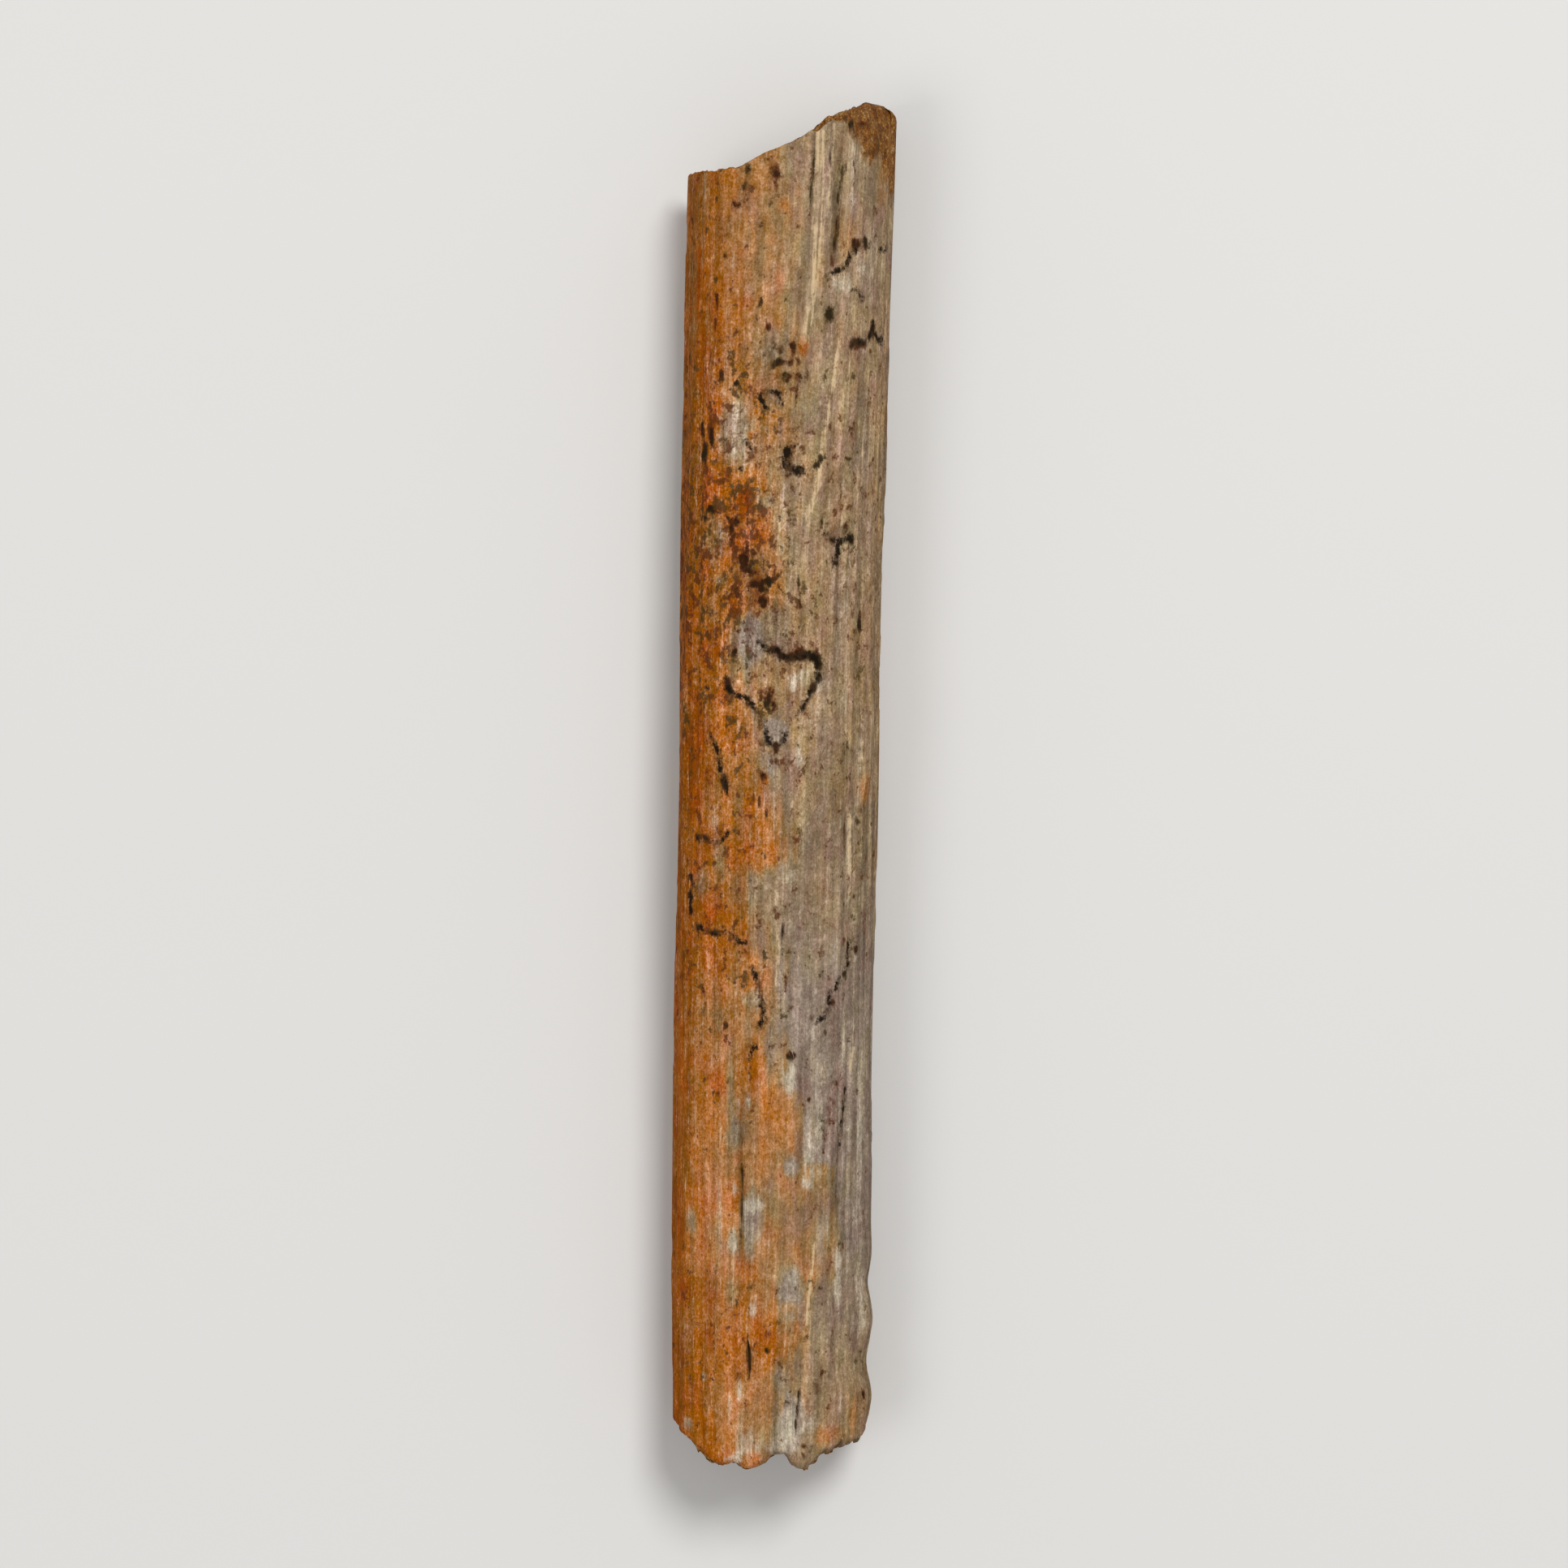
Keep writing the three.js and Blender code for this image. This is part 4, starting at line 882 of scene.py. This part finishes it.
def staining(across, y):
    rough = 0.45 * ragged(across, y, 0.3, 0.7, seed=80)
    blots = hidden_field(across, y, HIDDEN_BLOTS)
    hidden = smooth(0.5, 0.8, blots) * smooth(*CRISP_TURN, np.abs(across))
    return np.clip(patch_sum(across, y, STAINS, rough) + HIDDEN_STRENGTH * hidden, 0, 1)


def crack_distance(across, y):
    """Millimetres from the nearest crack's edge, negative inside it."""
    nearest = np.full(np.shape(across), FAR_MARK)
    for distance, _, _ in crack_edges(across, y):
        nearest = np.minimum(nearest, distance)
    return nearest


def vein_distance(across, y):
    """Millimetres from the nearest dendrite's edge, negative inside it."""
    nearest = np.full(np.shape(across), FAR_MARK)
    for half, path in VEINS:
        nearest = np.minimum(nearest, distance_to_path(across, y, on_surface(path)) - VEIN_SLIM * half)
    hidden = np.abs(across) > SIDE_REACH - 0.5
    for half, path in HIDDEN_VEINS:
        nearest = np.minimum(nearest, np.where(hidden, distance_to_path(across, y, path) - half, nearest))
    return nearest


def crust(across, y):
    """The brown crust on the worn corner of the oblique end, and its thin run down the right edge."""
    x = middle_x(y) + np.interp(across, GIRTH_ACROSS[::-1], GIRTH_X[::-1]) * half_width(y) / HALF_WIDTH
    rough = ragged(across, y, 0.5, 1.2, seed=90)
    corner = smooth(*CRUST["past_chip"], y - chip_start(x) + 0.8 * rough)
    corner = corner * smooth(*CRUST["from_x"], x + 0.3 * rough)
    corner = corner * smooth(*CRUST["down_the_flank"], np.abs(across))
    run = bell((across - CRUST_RUN["across"] + 0.4 * rough) / CRUST_RUN["half"])
    return np.clip(corner + CRUST_RUN["amount"] * run * smooth(*CRUST_RUN["span"], y), 0, 1)


# ---- Mesh ----
def column_angles():
    """Angles round the rod, evenly spaced over the surface but sparser on the lower half."""
    weight = np.where(np.sin(GIRTH_ANGLE) > UNDERSIDE_LEVEL, 1, UNDERSIDE_SHARE)
    walked = GIRTH_ACROSS[0] - GIRTH_ACROSS
    count = np.concatenate([[0], np.cumsum(np.diff(walked) * weight[1:])])
    return np.interp(np.arange(COLUMNS) / COLUMNS * count[-1], count, GIRTH_ANGLE)


def row_distances():
    reach, step = EDGE_ROWS
    near = np.arange(0, reach, step)
    middle = np.linspace(reach, LENGTH - reach, round((LENGTH - 2 * reach) / ROW_STEP) + 1)
    return np.concatenate([near, middle, LENGTH - near[::-1]])


def cap_rings(edge, y, face):
    """Rings from next to the rim inwards over a broken end, and the point in their middle."""
    middle = np.array([middle_x(y), y, middle_z(y)])
    rings = []
    for k in range(1, CAP_RINGS):
        ring = blend(edge, middle, (k / CAP_RINGS) ** CAP_CROWDING)
        ring[:, 1] = face(ring[:, 0], ring[:, 2])
        rings.append(ring)
    middle[1] = face(middle[0], middle[2])
    return np.array(rings), middle


def build_surface(angle):
    """All the rings of points, from the middle of the foot to the middle of the oblique end, each ring's
    relief, and which rings belong to a broken end."""
    share = row_distances() / LENGTH
    near_foot, _ = wall(angle, np.full(COLUMNS, END_PROBE - HALF_LENGTH), fine=False)
    near_top, _ = wall(angle, np.full(COLUMNS, HALF_LENGTH - END_PROBE), fine=False)
    start = foot_face(near_foot[:, 0], near_foot[:, 2])
    end = top_face(near_top[:, 0], near_top[:, 2])
    top_edge = blend(TOP_BREAK["edge"], TOP_BREAK["shoulder_edge"], shoulder(near_top[:, 0]))
    y = blend(start, end, share[:, None])
    inset = edge_inset(FOOT_BREAK["edge"], y - start) + edge_inset(top_edge, end - y)
    rows, relief = wall(np.broadcast_to(angle, y.shape), y, inset)
    foot, foot_middle = cap_rings(rows[0], -HALF_LENGTH, foot_face)
    top, top_middle = cap_rings(rows[-1], HALF_LENGTH, top_face)
    rings = np.concatenate([foot[::-1], rows, top])
    flat = np.zeros((CAP_RINGS - 1, COLUMNS))
    relief = np.concatenate([flat, relief, flat])
    broken = np.zeros(rings.shape[:2])
    broken[:CAP_RINGS - 1] = 1
    broken[-CAP_RINGS + 1:] = 1
    return rings, foot_middle, top_middle, relief, broken


def fitted(points):
    """The points, moved sideways so that, from above, their box has the same middle as the solid's."""
    low, high = (np.array(corner) / MM for corner in CAD_BOX)
    shift = (low + high) / 2 - (points.min(0) + points.max(0)) / 2
    shift[2] = 0
    return points + shift


def add_attribute(mesh, name, values, kind="FLOAT"):
    field = "value" if kind == "FLOAT" else "vector"
    mesh.attributes.new(name, kind, "POINT").data.foreach_set(field, np.ravel(values).astype(np.float32))


def add_map(mesh, points, ring_count):
    """The bake's map: the wall unrolled, and the two broken ends as islands in the strip below it."""
    corners = np.empty(len(mesh.loops), int)
    mesh.loops.foreach_get("vertex_index", corners)
    ring, column = corners // COLUMNS, corners % COLUMNS
    face = np.repeat(np.arange(len(mesh.polygons)), [p.loop_total for p in mesh.polygons])
    u = column / COLUMNS
    wraps = np.zeros(len(mesh.polygons), bool)
    np.logical_or.at(wraps, face, column == COLUMNS - 1)
    u = np.where(wraps[face] & (column == 0), 1, u)
    walked = points[corners, 1] + HALF_LENGTH + WALL_MARGIN
    v = CAP_STRIP + (1 - CAP_STRIP) * walked / (LENGTH + 2 * WALL_MARGIN)
    ring_of_face = np.full(len(mesh.polygons), ring_count)
    np.minimum.at(ring_of_face, face, ring)
    foot = (ring_of_face < CAP_RINGS - 1)[face]
    top = ((ring_of_face >= ring_count - CAP_RINGS) & (ring_of_face < ring_count))[face]
    cap = foot | top
    cap_u = 0.5 + points[corners, 0] / CAP_SPAN + np.where(top, CAP_SHIFT, -CAP_SHIFT)
    cap_v = points[corners, 2] / CAP_SPAN + CAP_MARGIN
    u = np.where(cap, cap_u, u)
    v = np.where(cap, cap_v, v)
    layer = mesh.uv_layers.new(name="OFBake")
    layer.data.foreach_set("uv", np.stack([u, v], -1).ravel())


def tendon_mesh():
    angle = column_angles()
    rings, foot_middle, top_middle, relief, broken = build_surface(angle)
    points = fitted(np.concatenate([rings.reshape(-1, 3), [foot_middle, top_middle]]))
    count = len(rings)
    column = np.arange(COLUMNS)
    following = (column + 1) % COLUMNS
    quads = [
        np.stack([a + column, a + COLUMNS + column, a + COLUMNS + following, a + following], -1)
        for a in range(0, (count - 1) * COLUMNS, COLUMNS)
    ]
    foot_tip, top_tip, last = count * COLUMNS, count * COLUMNS + 1, (count - 1) * COLUMNS
    tips = [(foot_tip, int(p), int(q)) for p, q in zip(column, following)]
    tips += [(top_tip, int(last + q), int(last + p)) for p, q in zip(column, following)]
    mesh = bpy.data.meshes.new("tendon_surface")
    mesh.from_pydata((points * MM).tolist(), [], np.concatenate(quads).tolist() + tips)
    mesh.polygons.foreach_set("use_smooth", [True] * len(mesh.polygons))
    mesh.update()

    across = np.broadcast_to(across_at_angle(angle), rings.shape[:2])
    y = rings[..., 1]
    marks = {
        "warm": warmth(across, y),
        "pale": paleness(across, y),
        "bare": bare_fibres(across, y),
        "stain": staining(across, y),
        "vein": vein_distance(across, y),
        "crack": crack_distance(across, y),
        "dust": dustiness(across, y),
        "shade": shading(across, y),
        "crust": crust(across, y),
        "relief": relief,
        "broken": broken,
    }
    at_tips = {"vein": FAR_MARK, "crack": FAR_MARK, "broken": 1}
    for name, values in marks.items():
        tip = at_tips.get(name, 0)
        add_attribute(mesh, name, np.append(values.ravel(), [tip, tip]))
    fibre_x = points[:, 0] - middle_x(points[:, 1])
    fibre_x = fibre_x - np.append(fibre_lean(across, y).ravel(), [0, 0])
    add_attribute(mesh, "grain", np.stack([fibre_x, points[:, 1], points[:, 2]], -1), "FLOAT_VECTOR")
    add_map(mesh, points, count)
    print("tendon:", len(points), "points,", 2 * (count - 1) * COLUMNS + len(tips), "triangles")
    return mesh


# ---- Fossil finish ----
def paint(red, green, blue):
    """A colour given as it looks on a screen, from 0 to 255, as the linear colour that a shader takes."""
    channels = np.array([red, green, blue]) / 255
    linear = np.where(channels <= 0.04045, channels / 12.92, ((channels + 0.055) / 1.055) ** 2.4)
    return (*linear.tolist(), 1)


# From cold to warm fossil: place on the ramp, colour.
FOSSIL_TONES = [
    (0, paint(144, 128, 114)),
    (0.12, paint(145, 123, 98)),
    (0.22, paint(153, 123, 89)),
    (0.42, paint(170, 120, 79)),
    (0.62, paint(175, 109, 62)),
    (0.8, paint(168, 94, 42)),
    (1, paint(142, 71, 19)),
]
MAUVE = paint(142, 114, 102)
BUFF = paint(166, 148, 114)
ROSE = paint(172, 104, 76)
WHITISH = paint(186, 174, 154)
CREAM = paint(216, 188, 148)
OCHRE = paint(154, 106, 46)
CRUST_BROWN = paint(116, 68, 18)
DARK_RUST = paint(84, 44, 18)
OLIVE = paint(66, 50, 22)
STAIN_BROWN = paint(86, 44, 18)
VEIN_BROWN = paint(66, 48, 30)
VEIN_BLACK = paint(22, 16, 8)
# The colour of the painted shade inside the cracks.
CRACK_SHADE = paint(50, 34, 16)

# Tints over the ramp: the noise that places them, its values for none and for most, the share at most, the
# warmths for none and for all, colour.
TINTS = [
    ("tints", -0.1, 1.0, 0.5, (0.6, 0.2), MAUVE),
    ("tints", 0.0, -1.0, 0.3, (0.5, 0.2), BUFF),
    ("hues", 0.1, 0.9, 0.35, (0.25, 0.45), ROSE),
]
SURFACE_ROUGHNESS = 0.72
SPECULAR = 0.04
BUMP_STRENGTH = 0.8
BUMP_DEPTH = 0.04

# Noises over the surface that the finish is made from: width, length, detail, roughness.
NOISES = {
    "broad": (1.4, 30, 2, 0.5),
    "bands": (0.45, 10, 2, 0.5),
    "fibres": (0.2, 5, 3, 0.6),
    "hairs": (0.1, 1.1, 2, 0.5),
    "grit": (0.1, 0.14, 2, 0.6),
    "clouds": (1.5, 2.6, 2, 0.6),
    "mineral": (1.1, 1.9, 5, 0.9),
    "mottle": (0.26, 0.36, 3, 0.8),
    "specks": (0.5, 0.7, 4, 0.65),
    "tints": (0.7, 2.4, 1.5, 0.5),
    "hues": (1.1, 1.8, 1.5, 0.5),
}
NOISE_START = 3.1  # where the first noise lies in the endless texture, and how far apart the others lie
NOISE_SPACING = 9.7
NOISE_CONTRAST = 4.5


class Nodes:
    """Adds nodes to a material. An input is a number, a colour or another node's output."""

    def __init__(self, material):
        material.use_nodes = True
        self.tree = material.node_tree
        self.shader = self.tree.nodes["Principled BSDF"]

    def feed(self, socket, value):
        if isinstance(value, bpy.types.NodeSocket):
            self.tree.links.new(value, socket)
        else:
            socket.default_value = value

    def add(self, kind, inputs, **settings):
        node = self.tree.nodes.new("ShaderNode" + kind)
        for name, value in settings.items():
            setattr(node, name, value)
        for key, value in inputs.items():
            self.feed(node.inputs[key], value)
        return node

    def value(self, name, output="Fac"):
        return self.add("Attribute", {}, attribute_name=name).outputs[output]

    def maths(self, operation, a, b):
        return self.add("Math", {0: a, 1: b}, operation=operation).outputs[0]

    def weighted(self, *terms):
        """The sum of plain numbers, of outputs and of (weight, output) pairs."""
        total = sum(term for term in terms if isinstance(term, float))
        for term in terms:
            if not isinstance(term, float):
                weight, value = term if isinstance(term, tuple) else (1.0, term)
                inputs = {0: value, 1: weight, 2: total}
                total = self.add("Math", inputs, operation="MULTIPLY_ADD").outputs[0]
        return total

    def rise(self, value, start, end, to=1.0):
        """Smoothly from 0 at start up to a height at end."""
        inputs = {"Value": value, "From Min": start, "From Max": end, "To Min": 0.0, "To Max": to}
        return self.add("MapRange", inputs, interpolation_type="SMOOTHSTEP").outputs["Result"]

    def noise(self, place, index, width, length, detail, roughness):
        """Smooth noise from about -1 to 1, with features this wide and this long, in millimetres."""
        stretch = (1 / width, 1 / length, 1 / width)
        shift = (NOISE_START + NOISE_SPACING * index,) * 3
        moved = self.add("VectorMath", {0: place, 1: stretch, 2: shift}, operation="MULTIPLY_ADD")
        inputs = {"Vector": moved.outputs[0], "Scale": 1.0, "Detail": detail, "Roughness": roughness}
        texture = self.add("TexNoise", inputs).outputs["Fac"]
        return self.weighted(-NOISE_CONTRAST / 2, (NOISE_CONTRAST, texture))

    def ramp(self, value, stops):
        node = self.add("ValToRGB", {"Fac": value})
        points = node.color_ramp.elements
        stops = list(stops)
        while len(points) < len(stops):
            points.new(0.5)
        for point, (position, colour) in zip(points, stops):
            point.position = position
            point.color = colour
        return node.outputs["Color"]

    def mix(self, share, under, over):
        return self.add("Mix", {0: share, 6: under, 7: over}, data_type="RGBA").outputs[2]


def bone_colour(n, t):
    """Fossil bone without its marks: a ramp from cold to warm, with tints, pale films, uneven tone and the
    painted light and shade of the shade attribute. Here and below, n adds nodes and t holds the noises by
    name."""
    warm = n.value("warm")
    warmer = n.weighted((0.13, t.clouds), (0.09, t.broad), (0.05, t.bands))
    tone = n.weighted(warm, n.maths("MULTIPLY", warmer, n.rise(warm, 0.0, 0.5)), (0.25, warmer))
    colour = n.ramp(tone, FOSSIL_TONES)
    for noise, start, end, most, warmths, tint in TINTS:
        share = n.maths("MULTIPLY", n.rise(getattr(t, noise), start, end, to=most), n.rise(warm, *warmths))
        colour = n.mix(share, colour, tint)
    pale = n.rise(n.weighted(n.value("pale"), (0.3, t.fibres), (0.4, t.mineral)), 0.1, 1.1, to=0.8)
    colour = n.mix(pale, colour, WHITISH)
    cold = n.rise(warm, 0.45, 0.1)
    streaks = n.weighted((0.33, t.bands), (0.17, n.maths("MULTIPLY", t.bands, cold)), (0.2, t.broad))
    # The shade attribute is painted light and shade: soft streaks, and darker flanks and underside.
    coarse = n.weighted(0.03, n.value("shade"), streaks, (0.58, t.mineral), (0.15, t.clouds))
    coarse = n.weighted(coarse, (-0.2, n.rise(warm, 0.6, 1.0)))
    fine = n.weighted((0.3, t.fibres), (0.12, t.hairs), (0.45, t.grit), (0.55, t.mottle))
    rough = n.weighted(0.65, (0.4, n.value("dust")))
    fine = n.maths("MULTIPLY", fine, rough)
    light = n.maths("POWER", 2.0, n.weighted(coarse, fine))
    depth = n.weighted(1.09, (-0.12, coarse), (-0.3, fine))
    hue = n.weighted(0.5, (0.009, t.hues))
    changes = {"Hue": hue, "Saturation": depth, "Value": light, "Color": colour}
    return n.add("HueSaturation", changes).outputs["Color"]


def with_painted_highlight_and_bare_fibres(n, t, colour):
    """A painted highlight, cream on the raised strands, and the bright bare fibres."""
    # Painted highlight: cream where the relief stands up on the raised strands.
    crest = n.rise(n.weighted(n.value("relief"), (0.04, t.fibres)), 0.07, 0.24, to=0.3)
    colour = n.mix(crest, colour, CREAM)
    bare = n.weighted(n.value("bare"), (0.4, t.fibres), (0.4, t.hairs), (0.45, t.mottle))
    return n.mix(n.rise(bare, 0.3, 1.3, to=0.95), colour, CREAM)


def with_broken_places(n, t, colour):
    """The granular crust of the worn corner, and the torn ends."""
    grains = n.weighted(0.52, (0.45, t.mineral), (0.42, t.mottle), (0.3, t.grit))
    crusted = n.rise(n.weighted(n.value("crust"), (0.4, t.mottle), (0.3, t.specks)), 0.15, 1.0, to=0.95)
    tones = (OLIVE, DARK_RUST, CRUST_BROWN, OCHRE, BUFF)
    colour = n.mix(crusted, colour, n.ramp(grains, zip((0, 0.2, 0.5, 0.85, 1), tones)))
    torn_tone = n.ramp(grains, zip((0, 0.2, 0.45, 0.7, 1), tones))
    return n.mix(n.rise(n.value("broken"), 0.3, 0.9), colour, torn_tone)


def with_stains_and_painted_shade(n, t, colour):
    """Painted shade in the grooves and cracks, and brown and olive mineral: as dust, in blots and as
    branching dendrites.
    """
    stain_colour = n.mix(n.rise(t.hues, -0.2, 0.5), STAIN_BROWN, OLIVE)
    # Painted shade: olive where the relief sinks into grooves and cracks.
    groove_shade = n.rise(n.weighted((-1.0, n.value("relief")), (0.03, t.fibres)), 0.1, 0.3, to=0.6)
    colour = n.mix(groove_shade, colour, OLIVE)
    dust = n.weighted(-0.6, (1.6, t.specks), (0.6, t.mottle), (0.3, t.clouds), n.value("dust"))
    colour = n.mix(n.rise(dust, 0.2, 1.1, to=0.85), colour, stain_colour)
    stain = n.value("stain")
    blots = n.weighted((1.35, stain), (0.45, t.specks), (0.45, t.mottle))
    here = n.rise(stain, 0.02, 0.2)
    colour = n.mix(n.maths("MULTIPLY", n.rise(blots, 0.1, 0.85, to=0.88), here), colour, stain_colour)
    colour = n.mix(n.rise(blots, 0.6, 1.25, to=0.75), colour, VEIN_BLACK)
    # Painted shade: dark inside the cracks.
    crack = n.weighted(n.value("crack"), (0.04, t.mottle), (0.03, t.hairs))
    colour = n.mix(n.rise(crack, 0.06, -0.06, to=0.9), colour, CRACK_SHADE)
    vein = n.weighted(n.value("vein"), (0.14, t.specks), (0.17, t.mottle))
    halo = n.rise(vein, 0.23, -0.05, to=0.65)
    colour = n.mix(halo, colour, VEIN_BROWN)
    core = n.maths("MULTIPLY", n.rise(vein, 0.1, -0.1, to=0.95), n.rise(t.specks, 0.9, -0.2))
    return n.mix(core, colour, VEIN_BLACK)


def fossil_material():
    material = bpy.data.materials.new("fossil_bone")
    n = Nodes(material)
    t = SimpleNamespace()
    grain = n.value("grain", "Vector")
    for index, (name, shape) in enumerate(NOISES.items()):
        setattr(t, name, n.noise(grain, index, *shape))
    colour = bone_colour(n, t)
    for layer in (with_painted_highlight_and_bare_fibres, with_broken_places, with_stains_and_painted_shade):
        colour = layer(n, t, colour)
    n.feed(n.shader.inputs["Base Color"], colour)
    roughness = n.weighted(SURFACE_ROUGHNESS, (0.06, t.fibres), (0.05, t.mottle))
    n.feed(n.shader.inputs["Roughness"], roughness)
    n.shader.inputs["Specular IOR Level"].default_value = SPECULAR
    height = n.weighted((0.5, t.fibres), (0.2, t.hairs), (0.3, t.grit), (0.35, t.mottle))
    bump = n.add("Bump", {"Strength": BUMP_STRENGTH, "Distance": BUMP_DEPTH * MM, "Height": height})
    n.feed(n.shader.inputs["Normal"], bump.outputs["Normal"])
    return material


tendon = bpy.data.objects.new("tendon_fossil", tendon_mesh())
bpy.context.scene.collection.objects.link(tendon)
tendon.data.materials.append(fossil_material())
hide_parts("tendon")
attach(tendon, "root")

# ---- Floor, light and camera ----
FLOOR_SIZE = 6000
FLOOR_DROP = 0.02  # a hair below the rod, so that the two don't share a plane
FLOOR_COLOUR = (0.75, 0.74, 0.72, 1)
FLOOR_ROUGHNESS = 0.9
bpy.ops.mesh.primitive_plane_add(size=FLOOR_SIZE * MM, location=(0, 0, -FLOOR_DROP * MM))
floor = bpy.context.object
floor.name = "floor"
floor_material = bpy.data.materials.new("floor")
floor_material.use_nodes = True
floor_shader = floor_material.node_tree.nodes["Principled BSDF"]
floor_shader.inputs["Base Color"].default_value = FLOOR_COLOUR
floor_shader.inputs["Roughness"].default_value = FLOOR_ROUGHNESS
floor.data.materials.append(floor_material)

WHITE = (1, 1, 1, 1)
WORLD_STRENGTH = 0.42
world = bpy.data.worlds.new("studio")
world.use_nodes = True
world.node_tree.nodes["Background"].inputs["Color"].default_value = WHITE
world.node_tree.nodes["Background"].inputs["Strength"].default_value = WORLD_STRENGTH
bpy.context.scene.world = world


def softbox(name, direction, distance, width, watts):
    """A round soft lamp that looks at the origin from this direction."""
    lamp = bpy.data.lights.new(name, "AREA")
    lamp.shape = "DISK"
    lamp.size = width * MM
    lamp.energy = watts
    holder = bpy.data.objects.new(name, lamp)
    towards = Vector(direction).normalized()
    holder.location = towards * (distance * MM)
    holder.rotation_euler = (-towards).to_track_quat("-Z", "Y").to_euler()
    bpy.context.scene.collection.objects.link(holder)


softbox("key", direction=(0.3, 0.5, 1), distance=700, width=250, watts=2.7)
softbox("fill", direction=(-0.6, -0.25, 0.9), distance=700, width=300, watts=0.8)

# The photo's frame, in the plane near the rod's crest where its scale was taken.
PICTURE_WIDTH = 85.9
PICTURE_MIDDLE_Y = 0.07
PICTURE_PLANE = 7.8
CAMERA_DISTANCE = 420
CLIP_START = 10
SENSOR = 36
camera_data = bpy.data.cameras.new("camera")
camera_data.sensor_width = SENSOR
camera_data.lens = SENSOR * CAMERA_DISTANCE / PICTURE_WIDTH
camera_data.clip_start = CLIP_START * MM
camera = bpy.data.objects.new("camera", camera_data)
camera.location = (0, PICTURE_MIDDLE_Y * MM, (PICTURE_PLANE + CAMERA_DISTANCE) * MM)
bpy.context.scene.collection.objects.link(camera)
bpy.context.scene.camera = camera
bpy.context.scene.view_settings.view_transform = "Standard"
